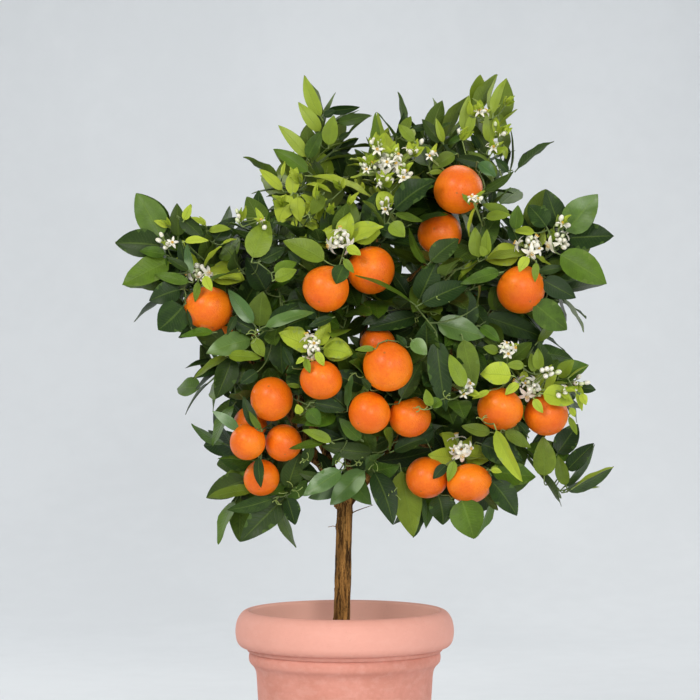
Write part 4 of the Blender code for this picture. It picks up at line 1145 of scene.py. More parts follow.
# The oranges: ripe fruit with a waxy, dimpled rind. Each hangs by its stem end, under a little
# green star of a calyx where the rind is drawn up in creases, and has a brown dot at the other.
PEEL_ROUND = 56
PEEL_RINGS = 36
CREASES = 4
CREASE_DEPTH = 0.0022
CREASE_AT = 0.35
CREASE_REACH = 0.34
LUMPS = 0.0012
STAR_POINTS = 5
STAR_REACH = (0.0062, 0.0034)
SOLID_ROUND = 10
fruit_draw = random.Random(29)
rind, tree, shader = new_material("orange_rind", 0.42)
place = place_on(tree)
ripe = mottled(tree, (0.92, 0.222, 0.004), (0.80, 0.142, 0.003), 0.03)
spot = add_node(tree, "UVMap", uv_map="blade").outputs["UV"]
height = add_node(tree, "SeparateXYZ", {0: spot}).outputs[1]
pit = spread(tree, specks(tree, place, 520.0), 0.0, 0.55)
in_pit = spread(tree, pit, 0.0, 0.5, 0.35, 0.0)
colour = blend_colours(tree, in_pit, ripe["Colour"], (0.74, 0.13, 0.006))
by_stem = spread(tree, height, 0.0, 0.13, 0.55, 0.0)
colour = blend_colours(tree, by_stem, colour, (0.62, 0.36, 0.02))
# Painted shade: the rind deepens to a darker red towards the flower end, which hangs low and to the
# front.
painted_shade_low_end = spread(tree, height, 0.55, 0.95, 0.0, 0.45)
colour = blend_colours(tree, painted_shade_low_end, colour, (0.66, 0.075, 0.002))
scar = times(tree, spread(tree, height, 0.978, 0.990), 0.6)
colour = blend_colours(tree, scar, colour, (0.34, 0.12, 0.02))
feed(tree, shader.inputs["Base Color"], colour)
feed(tree, shader.inputs["Roughness"], spread(tree, ripe["Fine"], 0.3, 0.7, 0.38, 0.50))
raise_from(tree, shader, sums(tree, "MULTIPLY_ADD", ripe["Fine"], 0.3, pit), 0.0006, 0.55)
shader.inputs["Specular IOR Level"].default_value = 0.22
shader.inputs["Coat Weight"].default_value = 0.22
shader.inputs["Coat Roughness"].default_value = 0.30
shader.inputs["Subsurface Weight"].default_value = 0.08
shader.inputs["Subsurface Radius"].default_value = (0.008, 0.003, 0.001)

for name in solids_named("fruit_"):
    shape = joined_mesh(name)
    poles = [v.co.copy() for v in shape.verts if len(v.link_edges) == SOLID_ROUND]
    corners = [v.co.copy() for v in shape.verts]
    shape.free()
    poles.sort(key=lambda spot: -spot.y - spot.z)
    centre = (poles[0] + poles[1]) / 2
    stem = (poles[0] - centre).normalized()
    tall = (poles[0] - centre).length
    wide = max(((co - centre) - stem * stem.dot(co - centre)).length for co in corners)
    wide /= math.sin(4 * math.pi / SOLID_ROUND)
    side = stem.orthogonal().normalized()
    other = stem.cross(side)
    start = fruit_draw.uniform(0, 6.28)
    points = [poles[0]]
    places = [(0.5, 0.0)]
    for ring in range(1, PEEL_RINGS):
        angle = math.pi * ring / PEEL_RINGS
        crease = CREASE_DEPTH * math.exp(-((angle - CREASE_AT) / CREASE_REACH) ** 2)
        for k in range(PEEL_ROUND):
            turn = 2 * math.pi * k / PEEL_ROUND
            out = turned_way(side, other, turn)
            spot = wide * math.sin(angle) * out + tall * math.cos(angle) * stem
            lumpy = LUMPS * noise.noise(spot * 24 + 3 * centre)
            fold = math.cos(CREASES * turn / 2 + start + 0.7 * math.sin(turn + 2 * start))
            points.append(centre + spot + (lumpy - crease * fold ** 8) * spot.normalized())
            places.append((k / PEEL_ROUND, ring / PEEL_RINGS))
    points.append(centre - (tall - 0.0006) * stem)
    places.append((0.5, 1.0))
    faces = domed_faces(PEEL_ROUND, PEEL_RINGS - 1, flip=True)
    body = Foliage()
    body.add_shape(points, faces, [1] * len(faces), places, (0.0, 0.5, 0.0, 1.0))
    star = [poles[0] + 0.0009 * stem]
    for k in range(2 * STAR_POINTS):
        reach = STAR_REACH[k % 2]
        out = turned_way(side, other, math.pi * k / STAR_POINTS + start)
        skin = tall * math.sqrt(max(0.0, 1 - (reach / wide) ** 2))
        star.append(centre + reach * out + (skin + 0.0006) * stem)
    star.append(poles[0] - 0.0012 * stem)
    ring = 2 * STAR_POINTS
    faces = [(0, 1 + k, 1 + (k + 1) % ring) for k in range(ring)]
    faces += [(ring + 1, 1 + (k + 1) % ring, 1 + k) for k in range(ring)]
    body.add_bare(star, faces, 0, (0.35, 0.3, 0.0, 1.0))
    body.piece(name.replace("fruit", "orange"), [green_twig, rind], "orange_peel", name)

# The leaves that the photograph shows best. A row has the base of a blade and its tip as the
# camera sees them, then the blade's width there; 1 at its end marks a leaf that hangs over a fruit
# or another leaf, 2 one that hangs over a young shoot too.
# They stand on thin twigs of the sprays, dark leaves behind, partly old ones and partly painted
# shade, and soft young ones in front.
SEEN_LEAVES = {
    "dark": (
        (178, 236, 177, 203, 16), (161, 246, 115, 243, 27), (180, 218, 204, 239, 15),
        (180, 290, 149, 301, 22), (183, 306, 158, 330, 30), (199, 327, 179, 338, 12),
        (215, 240, 236, 217, 16), (261, 261, 286, 248, 14), (265, 290, 246, 257, 22),
        (270, 323, 305, 302, 14), (256, 331, 230, 317, 15, 1), (257, 372, 240, 384, 12),
        (255, 427, 243, 396, 11, 1), (232, 358, 216, 399, 22), (259, 458, 261, 488, 10, 1),
        (285, 498, 240, 542, 26), (287, 498, 295, 525, 18), (288, 488, 300, 452, 20),
        (273, 498, 227, 510, 12), (374, 473, 393, 525, 24), (438, 496, 443, 525, 26),
        (492, 482, 517, 516, 24), (560, 228, 546, 189, 22), (569, 238, 614, 236, 27),
        (543, 280, 576, 298, 20), (546, 227, 528, 205, 22), (518, 242, 509, 222, 18),
        (539, 272, 565, 267, 9), (328, 110, 360, 107, 7), (338, 122, 371, 115, 11),
        (339, 139, 351, 132, 6), (317, 161, 359, 138, 11), (333, 150, 342, 178, 15),
        (322, 178, 314, 160, 9), (324, 116, 336, 110, 8), (397, 136, 404, 112, 6),
        (412, 130, 435, 126, 7), (441, 142, 422, 119, 12), (486, 152, 477, 134, 18),
        (484, 190, 514, 171, 9), (493, 190, 491, 207, 8), (344, 265, 336, 284, 16, 1),
        (419, 299, 437, 260, 24), (431, 262, 459, 239, 20, 1), (445, 271, 466, 240, 22),
        (422, 304, 470, 283, 22), (401, 399, 422, 361, 16), (437, 340, 446, 412, 22),
        (545, 375, 539, 341, 16), (567, 470, 594, 443, 17), (557, 454, 578, 424, 22),
        (517, 423, 528, 435, 8), (580, 388, 596, 390, 10), (481, 444, 523, 461, 25),
        (314, 403, 346, 410, 14), (314, 431, 345, 440, 10), (446, 465, 433, 479, 10, 1),
        (372, 452, 321, 446, 16), (378, 460, 439, 448, 14), (380, 228, 406, 236, 12),
        (559, 249, 585, 242, 12), (187, 269, 180, 238, 10, 2), (188, 270, 166, 257, 9, 2),
        (418, 316, 366, 330, 17, 1), (413, 327, 384, 339, 12), (330, 471, 317, 452, 11),
        (312, 445, 302, 470, 11), (486, 317, 545, 338, 21), (487, 165, 452, 157, 10),
        (398, 441, 434, 428, 16), (394, 451, 427, 438, 13), (476, 346, 499, 352, 12),
        (487, 354, 506, 347, 9), (366, 317, 345, 337, 14), (316, 318, 298, 302, 10),
        (364, 347, 349, 336, 8), (406, 346, 396, 335, 7), (497, 345, 481, 337, 8),
        (506, 364, 493, 355, 8), (370, 389, 361, 378, 7), (508, 172, 495, 158, 8),
        (512, 227, 500, 217, 8), (236, 316, 227, 335, 7, 1), (191, 327, 187, 309, 5, 1),
        (299, 263, 288, 251, 8), (309, 305, 295, 288, 9), (292, 366, 283, 346, 9),
        (479, 149, 470, 133, 8), (321, 479, 298, 472, 9),
        (408, 298, 389, 268, 14), (385, 312, 361, 325, 10), (332, 318, 308, 327, 9),
        (546, 430, 532, 443, 7), (340, 452, 332, 466, 7),
    ),
    "olive": (
        (260, 326, 263, 291, 24), (255, 490, 206, 498, 14), (402, 135, 411, 116, 11),
        (415, 314, 367, 294, 10), (421, 265, 386, 248, 10), (463, 340, 475, 389, 20),
        (490, 432, 461, 426, 12), (505, 431, 531, 448, 13),
        (544, 476, 543, 436, 22), (566, 485, 558, 455, 13), (323, 195, 311, 215, 13),
        (509, 216, 482, 204, 12), (198, 282, 195, 302, 7, 1), (261, 429, 249, 411, 6, 1),
        (230, 356, 193, 380, 11, 1), (455, 155, 432, 169, 14), (536, 391, 527, 420, 8),
    ),
    "grey": (
        (253, 323, 228, 289, 14), (266, 327, 315, 312, 13), (250, 340, 206, 354, 23, 1),
        (238, 430, 212, 411, 10), (365, 471, 330, 505, 22), (341, 471, 303, 496, 19),
        (437, 323, 485, 337, 24), (412, 340, 427, 355, 14), (348, 407, 353, 372, 8),
    ),
    "slate": ((479, 163, 496, 177, 13), (192, 273, 187, 243, 8, 2)),
    "shiny": ((161, 237, 136, 193, 28), (567, 232, 598, 194, 30)),
    "middle": (
        (169, 262, 122, 285, 28), (165, 255, 139, 251, 12),
        (269, 286, 288, 252, 9), (213, 333, 180, 337, 9), (325, 442, 289, 449, 9, 1),
        (256, 461, 217, 459, 9), (441, 400, 431, 408, 11), (560, 255, 607, 284, 29),
        (534, 303, 567, 330, 28), (515, 229, 518, 205, 13), (499, 273, 475, 275, 12),
        (308, 172, 273, 149, 14), (308, 158, 323, 130, 14), (380, 160, 376, 112, 9),
        (448, 145, 470, 134, 8), (395, 214, 424, 222, 8), (409, 302, 354, 275, 10, 1),
        (427, 263, 409, 227, 9), (497, 367, 487, 360, 6), (450, 451, 445, 463, 8),
        (491, 471, 536, 477, 26), (462, 500, 474, 539, 32), (508, 362, 532, 342, 17),
        (517, 393, 514, 409, 8), (361, 439, 339, 418, 13), (307, 410, 320, 425, 14),
        (499, 273, 460, 284, 12), (270, 291, 301, 275, 9), (189, 282, 154, 274, 11),
        (480, 327, 500, 342, 11), (274, 272, 297, 262, 13),
    ),
    "bright": (
        (253, 258, 269, 221, 24), (324, 261, 283, 241, 20), (275, 280, 297, 270, 14),
        (229, 356, 262, 358, 14), (253, 339, 264, 357, 12), (300, 387, 285, 385, 5),
        (401, 471, 413, 537, 29), (486, 218, 511, 215, 11), (329, 145, 334, 115, 15),
        (414, 141, 398, 124, 10), (429, 173, 445, 172, 5), (390, 224, 405, 237, 15),
        (478, 258, 475, 227, 14), (487, 255, 487, 229, 10), (485, 256, 480, 246, 8),
        (479, 261, 457, 282, 8, 1), (464, 387, 449, 354, 14, 1), (498, 352, 483, 347, 9, 1),
        (524, 366, 506, 365, 9), (431, 406, 426, 389, 9), (568, 492, 600, 487, 8),
        (534, 372, 531, 353, 9), (540, 370, 538, 348, 11), (559, 377, 574, 360, 14),
        (454, 461, 448, 482, 9, 1), (331, 442, 302, 430, 10), (374, 349, 355, 350, 6, 1),
        (562, 229, 558, 214, 7), (552, 241, 552, 228, 9), (209, 231, 231, 229, 10),
        (491, 470, 498, 466, 4), (569, 417, 577, 435, 6), (344, 259, 354, 273, 7, 1),
        (536, 263, 535, 282, 7, 1), (306, 358, 310, 373, 7, 1),
        (463, 195, 470, 205, 5, 1),
    ),
    "pale": (
        (321, 116, 304, 75, 12), (490, 110, 498, 74, 6), (494, 114, 507, 78, 10),
        (497, 119, 513, 98, 4), (498, 128, 518, 109, 5), (484, 110, 472, 98, 3),
        (464, 131, 469, 95, 12), (468, 133, 475, 109, 9), (489, 142, 489, 108, 14),
        (576, 487, 614, 467, 8), (388, 155, 377, 112, 9), (306, 157, 278, 125, 13),
        (320, 131, 298, 102, 13), (443, 142, 436, 118, 7), (504, 146, 506, 159, 6),
        (570, 377, 589, 365, 4), (540, 388, 568, 383, 7),
    ),
    "young": (
        (184, 220, 191, 204, 8), (211, 271, 245, 280, 25), (185, 242, 209, 241, 9),
        (223, 244, 237, 239, 4), (205, 276, 212, 291, 9, 1),
        (307, 342, 277, 333, 20), (304, 358, 296, 364, 5), (300, 414, 297, 404, 8),
        (534, 233, 513, 231, 10), (519, 252, 486, 260, 24), (528, 257, 519, 272, 10, 1),
        (312, 178, 372, 197, 14),
        (293, 195, 297, 167, 14), (282, 190, 259, 169, 10), (282, 176, 285, 161, 4),
        (291, 196, 278, 222, 20), (298, 197, 300, 222, 14), (390, 193, 378, 210, 18),
        (352, 238, 383, 227, 25), (350, 225, 315, 236, 9), (347, 247, 361, 255, 10, 1),
        (476, 208, 469, 237, 6), (511, 376, 480, 374, 23),
        (519, 384, 505, 395, 9, 1), (489, 391, 472, 399, 6), (465, 453, 493, 457, 20),
        (497, 430, 523, 482, 11), (323, 348, 353, 354, 22), (316, 352, 324, 366, 8, 1),
        (524, 371, 525, 386, 8), (543, 394, 574, 403, 22, 1), (534, 399, 543, 413, 8, 1),
        (523, 405, 527, 423, 8),
        (576, 394, 582, 411, 6), (581, 394, 586, 405, 8), (570, 408, 575, 417, 6),
        (491, 470, 502, 472, 6),
        (457, 440, 439, 434, 9),
    ),
}
# The tones are partly the leaves' own greens, partly painted light and shade: the dark and slate
# leaves are darkened as in the shade that falls on them, and the blue share lays painted sheen on
# the grey, slate, shiny and pale ones.
SEEN_LOOKS = {
    "dark": (0.0, 0.0, 0.0), "olive": (0.26, 0.32, 0.0), "grey": (0.05, 0.85, 0.75),
    "slate": (0.0, 0.25, 0.60), "shiny": (0.06, 0.62, 0.30), "middle": (0.05, 0.60, 0.0),
    "bright": (0.37, 0.60, 0.0), "pale": (0.55, 0.90, 0.25),
    "young": (0.95, 0.70, 0.0),
}
LIGHT_WAY = Vector((-0.45, -0.70, 0.55))
SEEN_TWIGS = (
    (((500, 426), (508, 434), (516, 443), (525, 456), (534, 463), (543, 476), (556, 486),
      (562, 493), (568, 492)), 0.0013),
    (((556, 486), (561, 478), (563, 474)), 0.0008),
    (((543, 476), (540, 470), (536, 452), (531, 446)), 0.0008),
    (((313, 170), (306, 178), (300, 190), (298, 204)), 0.0012),
    (((320, 140), (322, 128), (324, 114)), 0.0010),
)
TWIG_DEPTH = -0.042
SEEN_CELL = 3
SEEN_FRAME = ((100, 630), (60, 560))
STEM_BELOW = 470
FRUIT_FRONT = -0.02
OPEN_DEPTH = -0.035
LAYER_GAP = 0.005
DEPTH_STEP = 0.007
DEPTH_TRIES = 16
FRONT_LIMIT = solid_box[0].y - 0.012
LEAST_WIDTH = 0.32
SEEN_SPREAD = 1.06
SEEN_SLOPE = 0.30
SEEN_LEAN = 0.22
STALK_SHARE = 0.12
BESIDE_CELLS = 4
BEHIND_BLOOMS = 0.02
FRUIT_SHARE = 0.12
SHOWN_SHARE = 0.3
SEED_STEP = 1000
CELL = 0.04
SIDE_STEM_SHARE = 0.85
FRUIT_CLEAR = 0.003
TWIG_PARTS = 5


def spot_at(across, down, depth):
    """The place at a depth that the camera sees at a pixel."""
    scale = PIXEL * (depth - EYE.y) / -EYE.y
    return Vector((EYE.x + (across - MIDDLE) * scale, depth, EYE.z - (down - MIDDLE) * scale))


def cell_of(spot):
    across, down = pixel_of(spot)
    return int(across // SEEN_CELL), int(down // SEEN_CELL)


def tree_of(prefixes):
    """A search tree of all the solids whose names start so."""
    points = []
    faces = []
    for name, node in solids.items():
        if name.startswith(prefixes):
            first = len(points)
            points += [v.co.copy() for v in node.data.vertices]
            faces += [tuple(first + i for i in p.vertices) for p in node.data.polygons]
    return BVHTree.FromPolygons(points, faces)


def fronts_of(prefixes):
    """How far forward the camera sees the solids whose names start so, cell by cell."""
    solid_faces = tree_of(prefixes)
    fronts = {}
    for i, j in itertools.product(*(range(a // SEEN_CELL, b // SEEN_CELL) for a, b in SEEN_FRAME)):
        aim = spot_at((i + 0.5) * SEEN_CELL, (j + 0.5) * SEEN_CELL, 0.0)
        hit = solid_faces.ray_cast(EYE, (aim - EYE).normalized(), 5.0)[0]
        if hit is not None:
            fronts[i, j] = hit.y
    return fronts


def bring_forward(fronts, cell, depth):
    """Notes that something is seen at least this far forward in a cell."""
    fronts[cell] = min(fronts.get(cell, 1.0), depth)


def kite(root, along, up, length, width):
    """A plain outline of a leaf for trying out whether there is room for it."""
    middle = root + length * (0.45 * along + 0.054 * up)
    wing = width / 2 * along.cross(up)
    rise = KEEL * width / 2 * up
    return [
        root + 0.16 * length * along + 0.03 * length * up,
        middle - wing + rise,
        middle + (wing + rise),
        root + length * along,
        middle,
    ]


KITE_FACES = ((0, 1, 4), (0, 4, 2), (1, 3, 4), (4, 3, 2))
solid_tree = tree_of(("trunk", "spray_", "young_", "blossom_", "fruit_"))
spray_fronts = fronts_of(("spray_", "trunk"))
fruit_fronts = {
    cell: depth for cell, depth in fronts_of("fruit_").items() if depth < FRUIT_FRONT
}
bloom_fronts = fronts_of(("blossom_", "young_"))
for spot, reach in taken:
    i, j = cell_of(spot)
    for di, dj in itertools.product((-2, -1, 0, 1, 2), repeat=2):
        if math.hypot(di, dj) * SEEN_CELL * PIXEL < reach:
            bring_forward(bloom_fronts, (i + di, j + dj), spot.y - 0.5 * reach)
seen_fronts = dict(bloom_fronts)
wood_fronts = fronts_of("trunk")
for cell, depth in fruit_fronts.items():
    bring_forward(seen_fronts, cell, depth)
for cell, depth in wood_fronts.items():
    if cell[1] * SEEN_CELL > STEM_BELOW:
        bring_forward(seen_fronts, cell, depth)
grown_cells = {}
side_stems = []


def cells_of(points):
    low = [math.floor(min(p[k] for p in points) / CELL) for k in range(3)]
    high = [math.floor(max(p[k] for p in points) / CELL) for k in range(3)]
    return itertools.product(*(range(a, b + 1) for a, b in zip(low, high)))


def clear_of_all(points):
    """A kite's own search tree and cells if nothing that has grown is in its way."""
    tree = BVHTree.FromPolygons(points, KITE_FACES, epsilon=0.0)
    if tree.overlap(solid_tree):
        return None
    cells = list(cells_of(points))
    tried = set()
    for cell in cells:
        for other in grown_cells.get(cell, ()):
            if id(other) not in tried:
                tried.add(id(other))
                if tree.overlap(other):
                    return None
    return tree, cells


def keep_room(found):
    tree, cells = found
    for cell in cells:
        grown_cells.setdefault(cell, []).append(tree)


def samples_of(root, along, up, length, width):
    """Points spread over a blade."""
    side = along.cross(up)
    spots = []
    for t in (0.14, 0.25, 0.36, 0.47, 0.58, 0.69, 0.80, 0.91, 0.99):
        half = width / 2 * min(1.0, 3.2 * (t - 0.10), 2.0 * (1.01 - t))
        for across in (-0.9, -0.45, 0.0, 0.45, 0.9):
            spots.append(root + t * length * along + across * half * side)
    return spots


def spray_stem(spot):
    """The spray with the nearest twig or side twig, and the nearest place on that."""
    best = None
    nearest = math.inf
    for name in sprays:
        place, _, _, far = carrier_trees[name].find_nearest(spot)
        if place is not None and far < nearest:
            best, nearest = (name, place), far
    for name, place in side_stems:
        far = (place - spot).length
        if far < SIDE_STEM_SHARE * nearest:
            best, nearest = (name, place), far
    return best


def side_twig(foot, draw):
    """Grows a thin bent twig from the nearest spray to a foot. Returns the spray's name."""
    name, stem = spray_stem(foot)
    far = (foot - stem).length
    bend = far * (Vector((0, 0.30, -0.08)) + 0.08 * any_way(draw))
    path = []
    for k in range(TWIG_PARTS + 1):
        t = k / TWIG_PARTS
        spot = stem.lerp(foot, t) + 4 * t * (1 - t) * bend
        for centre, reach in fruit_balls:
            off = spot - centre
            if off.length < reach + FRUIT_CLEAR and 0 < k < TWIG_PARTS:
                spot = centre + (reach + FRUIT_CLEAR) * off.normalized()
        path.append(spot)
    radii = [0.0011 - 0.0003 * k / TWIG_PARTS for k in range(TWIG_PARTS + 1)]
    bodies[name].add_tube(path, radii, 6, 0, (0.15, 0.5, 0.0, 1.0))
    for before, spot in zip(path, path[1:]):
        side_stems.append((name, spot))
        way = (spot - before).normalized()
        turned_off = way.cross(any_way(draw)).normalized()
        roots.append((name, spot, way, turned_off, 0.0018 * far))
    return name


def thinned(thick, lost, path):
    """Radii along a path that lose a share of their size on the way."""
    return [thick * (1 - lost * k / (len(path) - 1)) for k in range(len(path))]


fruit_balls = []
for name in solids:
    if name.startswith("fruit_"):
        low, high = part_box(name)
        fruit_balls.append(((low + high) / 2, max(high - low) / 2))
seen_draw = random.Random(3)
for row, thick in SEEN_TWIGS:
    path = [spot_at(across, down, TWIG_DEPTH) for across, down in row]
    name = side_twig(path[0], seen_draw)
    bodies[name].add_tube(path, thinned(thick, 0.5, path), 6, 0, (0.0, 0.0, 0.0, 1.0))
    for first, second in zip(path, path[1:]):
        side_stems += [(name, first.lerp(second, share)) for share in (0.25, 0.5, 0.75, 1.0)]
for tone, rows in SEEN_LEAVES.items():
    youth, light, bluish_gloss_and_sheen = SEEN_LOOKS[tone]
    for base_x, base_y, tip_x, tip_y, wide, *over in rows:
        seen_draw = random.Random(SEED_STEP * base_x + base_y)
        run = math.hypot(tip_x - base_x, tip_y - base_y)
        foot_x = base_x - STALK_SHARE * (tip_x - base_x)
        foot_y = base_y - STALK_SHARE * (tip_y - base_y)
        front = over[0] if over else 0
        slope = seen_draw.uniform(-SEEN_SLOPE, SEEN_SLOPE)
        true_wide = max(SEEN_SPREAD * wide, LEAST_WIDTH * run)
        roll = math.acos(SEEN_SPREAD * wide / true_wide) + seen_draw.uniform(-0.1, 0.25)
        lean = Vector((0, -1, 0.30)) + SEEN_LEAN * any_way(seen_draw)
        depth = None
        for _ in range(DEPTH_TRIES):
            here = OPEN_DEPTH if depth is None else depth
            foot = spot_at(foot_x, foot_y, here)
            tip = spot_at(tip_x, tip_y, here + slope * run * PIXEL)
            along = (tip - foot).normalized()
            up = (lean - along * lean.dot(along)).normalized()
            turned_ups = [Matrix.Rotation(turn, 3, along) @ up for turn in (roll, -roll)]
            up = (min if tone == "dark" else max)(turned_ups, key=LIGHT_WAY.dot)
            blade = (foot, along, up, (tip - foot).length, true_wide * PIXEL)
            cells = [(cell_of(spot), spot.y) for spot in samples_of(*blade)]
            if depth is None:
                behind = [spray_fronts, fruit_fronts, bloom_fronts][:1 + front]
                ahead = min(
                    min(fronts.get(cell, 1.0) for fronts in behind) - (y - here)
                    for cell, y in cells
                )
                i, j = cell_of(foot)
                near = range(-BESIDE_CELLS, BESIDE_CELLS + 1)
                beside = min(
                    fronts.get((i + di, j + dj), 1.0)
                    for fronts in (bloom_fronts, fruit_fronts) for di in near for dj in near
                )
                beside += 0.0 if tone == "young" else BEHIND_BLOOMS
                depth = min(ahead - LAYER_GAP, OPEN_DEPTH, beside)
                depth = max(depth, FRONT_LIMIT + 0.3 * run * PIXEL)
                continue
            hidden = 0
            if not front:
                hidden = sum(y < bloom_fronts.get(cell, -1.0) for cell, y in cells)
                hidden += sum(y < fruit_fronts.get(cell, -1.0) for cell, y in cells)
            found = clear_of_all(kite(*blade))
            if found is not None and hidden <= FRUIT_SHARE * len(cells):
                break
            depth += DEPTH_STEP if not front else -DEPTH_STEP / 2
        else:
            continue
        shown = sum(y < spray_fronts.get(cell, 1.0) + 0.002 for cell, y in cells)
        if shown < SHOWN_SHARE * len(cells):
            continue
        keep_room(found)
        for cell, y in cells:
            bring_forward(seen_fronts, cell, y)
            bring_forward(spray_fronts, cell, y)
        name = side_twig(foot, seen_draw)
        look = (
            min(1.0, max(0.0, youth + seen_draw.gauss(0, 0.05))),
            min(1.0, max(0.0, light + seen_draw.gauss(0, 0.10))),
            bluish_gloss_and_sheen, 1.0,
        )
        bodies[name].add_leaf(
            *blade, seen_draw, look, lift=seen_draw.uniform(0.10, 0.26),
            keel=seen_draw.uniform(0.12, 0.30), wave=1.2,
        )

# Smaller tufts along the outer twigs: a few buds and flowers on one foot, with soft young leaves
# round them. A row has the place that the camera sees, the blooms and the leaves; 1.0 at its end
# marks one whose blooms are all still buds.
TUFTS = (
    ((169, 246), 6, 2), ((388, 211), 4, 4), ((498, 136), 4, 5), ((492, 153), 3, 4),
    ((474, 202), 3, 2), ((505, 350), 6, 2), ((574, 385), 6, 5), ((546, 374), 9, 3, 1.0),
    ((376, 150), 8, 14), ((402, 176), 8, 12), ((392, 160), 9, 14), ((368, 170), 8, 14),
    ((412, 156), 6, 14), ((384, 186), 6, 10), ((264, 226), 2, 4), ((284, 206), 0, 6),
    ((300, 184), 0, 6), ((316, 200), 0, 5), ((480, 118), 2, 6), ((470, 116), 0, 6),
    ((505, 106), 0, 6), ((460, 140), 2, 5), ((241, 222), 3, 3), ((559, 226), 4, 3),
    ((170, 228), 0, 4), ((206, 226), 0, 3), ((466, 392), 4, 2), ((560, 392), 3, 4),
    ((430, 158), 3, 5), ((342, 190), 0, 6), ((330, 214), 0, 5), ((348, 206), 0, 4),
)
TUFT_DEPTH = -0.05
TUFT_ROOM = 6
BLOOM_ROOM = 0.008
tuft_draw = random.Random(61)


def depth_around(across, down, apart):
    """How far forward anything is seen in nine places round a pixel."""
    around = itertools.product((-apart, 0, apart), repeat=2)
    cells = [cell_of(spot_at(across + dx, down + dy, 0.0)) for dx, dy in around]
    return min(min(seen_fronts.get(cell, 1.0), spray_fronts.get(cell, 1.0)) for cell in cells)


more = Foliage()
for (across, down), blooms, leaves, *buds in TUFTS:
    depth = min(depth_around(across, down, TUFT_ROOM), TUFT_DEPTH) - 0.004
    depth = max(depth, FRONT_LIMIT + 0.02)
    foot = spot_at(across, down, depth)
    name = side_twig(foot, tuft_draw)
    for _ in range(leaves):
        along = outward_from(foot) + Vector((0, -0.3, 0.3)) + 0.9 * any_way(tuft_draw)
        along = along.normalized()
        up = Vector((0, -1, 0.4)) + 0.5 * any_way(tuft_draw)
        up = (up - along * up.dot(along)).normalized()
        length = tuft_draw.uniform(0.014, 0.028)
        bodies[name].add_leaf(
            foot, along, up, length, length * tuft_draw.uniform(0.3, 0.46), tuft_draw,
            (tuft_draw.uniform(0.8, 1.0), tuft_draw.random(), 0.0, 1.0), keel=0.35, wave=2.0,
        )
    if blooms:
        add_cluster(more, foot, blooms, tuft_draw, taken, *buds)
    for dx, dz in itertools.product((-BLOOM_ROOM, 0, BLOOM_ROOM), repeat=2):
        bring_forward(seen_fronts, cell_of(foot + Vector((dx, 0, dz))), depth)
more.piece("flowers_along_the_twigs", blossom_parts, "petal")

# Old flower stalks: thin, pale and curled, left in little bunches where the blossom has dropped.
# A row has a bunch's place as the camera sees it, the number of stalks and how far they reach.
CURLS = (
    ((431, 311), 6, 13), ((255, 335), 6, 12), ((291, 490), 8, 12), ((371, 460), 7, 14),
    ((338, 461), 5, 9), ((359, 462), 5, 9), ((415, 318), 4, 9), ((388, 494), 2, 12),
    ((394, 494), 3, 12), ((441, 300), 4, 8), ((276, 500), 3, 8), ((420, 408), 4, 9),
    ((446, 398), 4, 10), ((482, 420), 4, 9), ((308, 214), 3, 9), ((402, 204), 3, 8),
    ((356, 373), 2, 10), ((306, 460), 5, 10), ((322, 466), 4, 8),
)
CURL_ROOM = 4
CURL_STEPS = 6
curl_draw = random.Random(71)
for (across, down), count, reach in CURLS:
    depth = min(depth_around(across, down, CURL_ROOM), TWIG_DEPTH) - 0.002
    foot = spot_at(across, down, max(depth, FRONT_LIMIT + 0.01))
    name = side_twig(foot, curl_draw)
    for _ in range(count):
        way = (any_way(curl_draw) + Vector((0, -0.3, 0.2))).normalized()
        axis = (any_way(curl_draw) + Vector((0, -1.2, 0))).normalized()
        bend = Matrix.Rotation(curl_draw.choice((-1, 1)) * curl_draw.uniform(0.2, 0.55), 3, axis)
        path = [foot]
        step = reach * PIXEL * curl_draw.uniform(0.7, 1.2) / CURL_STEPS
        for _ in range(CURL_STEPS):
            path.append(path[-1] + step * way)
            way = bend @ way
        radii = [0.00065] * CURL_STEPS + [0.0009]
        bodies[name].add_tube(path, radii, 5, 0, (0.9, curl_draw.random(), 0.0, 1.0))

# Two bits of bare wood on the stem under the fork: a thin dead twig on the right and a thorn on the
# left, both left from the tree's first years.
BARE_TWIGS = (
    (((350, 514), (356, 511), (364, 508), (373, 505)), 0.0010),
    (((338, 527), (333, 526), (328, 527)), 0.0008),
)
BEHIND_BARK = 0.009
bare = Foliage()
for row, thick in BARE_TWIGS:
    depth = wood_fronts[cell_of(spot_at(*row[0], 0.0))] + BEHIND_BARK
    path = [spot_at(across, down, depth) for across, down in row]
    bare.add_tube(path, thinned(thick, 0.6, path), 6, 0, (0.0, 0.0, 0.0, 1.0))
bare.piece("dead_twig_and_thorn", [bark], "bark")

# Side twigs fill each spray out. They grow by rule from its shoots and from the limbs, outward and
# up to the light, with leaves turned to the outside all along and a rosette of them at the end.
CROWN_EDGE = (
    (158, 228), (176, 222), (190, 214), (205, 232), (222, 226), (240, 222), (256, 220), (262, 204),
    (272, 180), (284, 160), (298, 140), (308, 118), (318, 110), (335, 120), (352, 138), (372, 146),
    (384, 126), (400, 126), (416, 124), (432, 126), (446, 122), (458, 120), (466, 106), (484, 96),
    (502, 94), (510, 120), (514, 150), (502, 176), (494, 200), (488, 222), (510, 218), (530, 210),
    (550, 212), (568, 216), (584, 230), (594, 242), (588, 262), (582, 280), (566, 290), (558, 308),
    (546, 322), (530, 334), (530, 344), (540, 354), (552, 362), (568, 370), (582, 384), (584, 400),
    (574, 414), (566, 422), (556, 430), (540, 438), (522, 442), (526, 462), (532, 478), (514, 486),
    (508, 502), (484, 512), (470, 522), (456, 504), (442, 512), (424, 502), (412, 516), (400, 504),
    (386, 504), (370, 482), (355, 470), (335, 470), (322, 480), (302, 492), (288, 508), (262, 514),
    (240, 512), (228, 498), (238, 480), (234, 465), (224, 450), (238, 430), (232, 415), (228, 400),
    (218, 380), (216, 362), (206, 350), (192, 332), (172, 318), (160, 300), (146, 285), (140, 262),
    (142, 246), (148, 236),
)
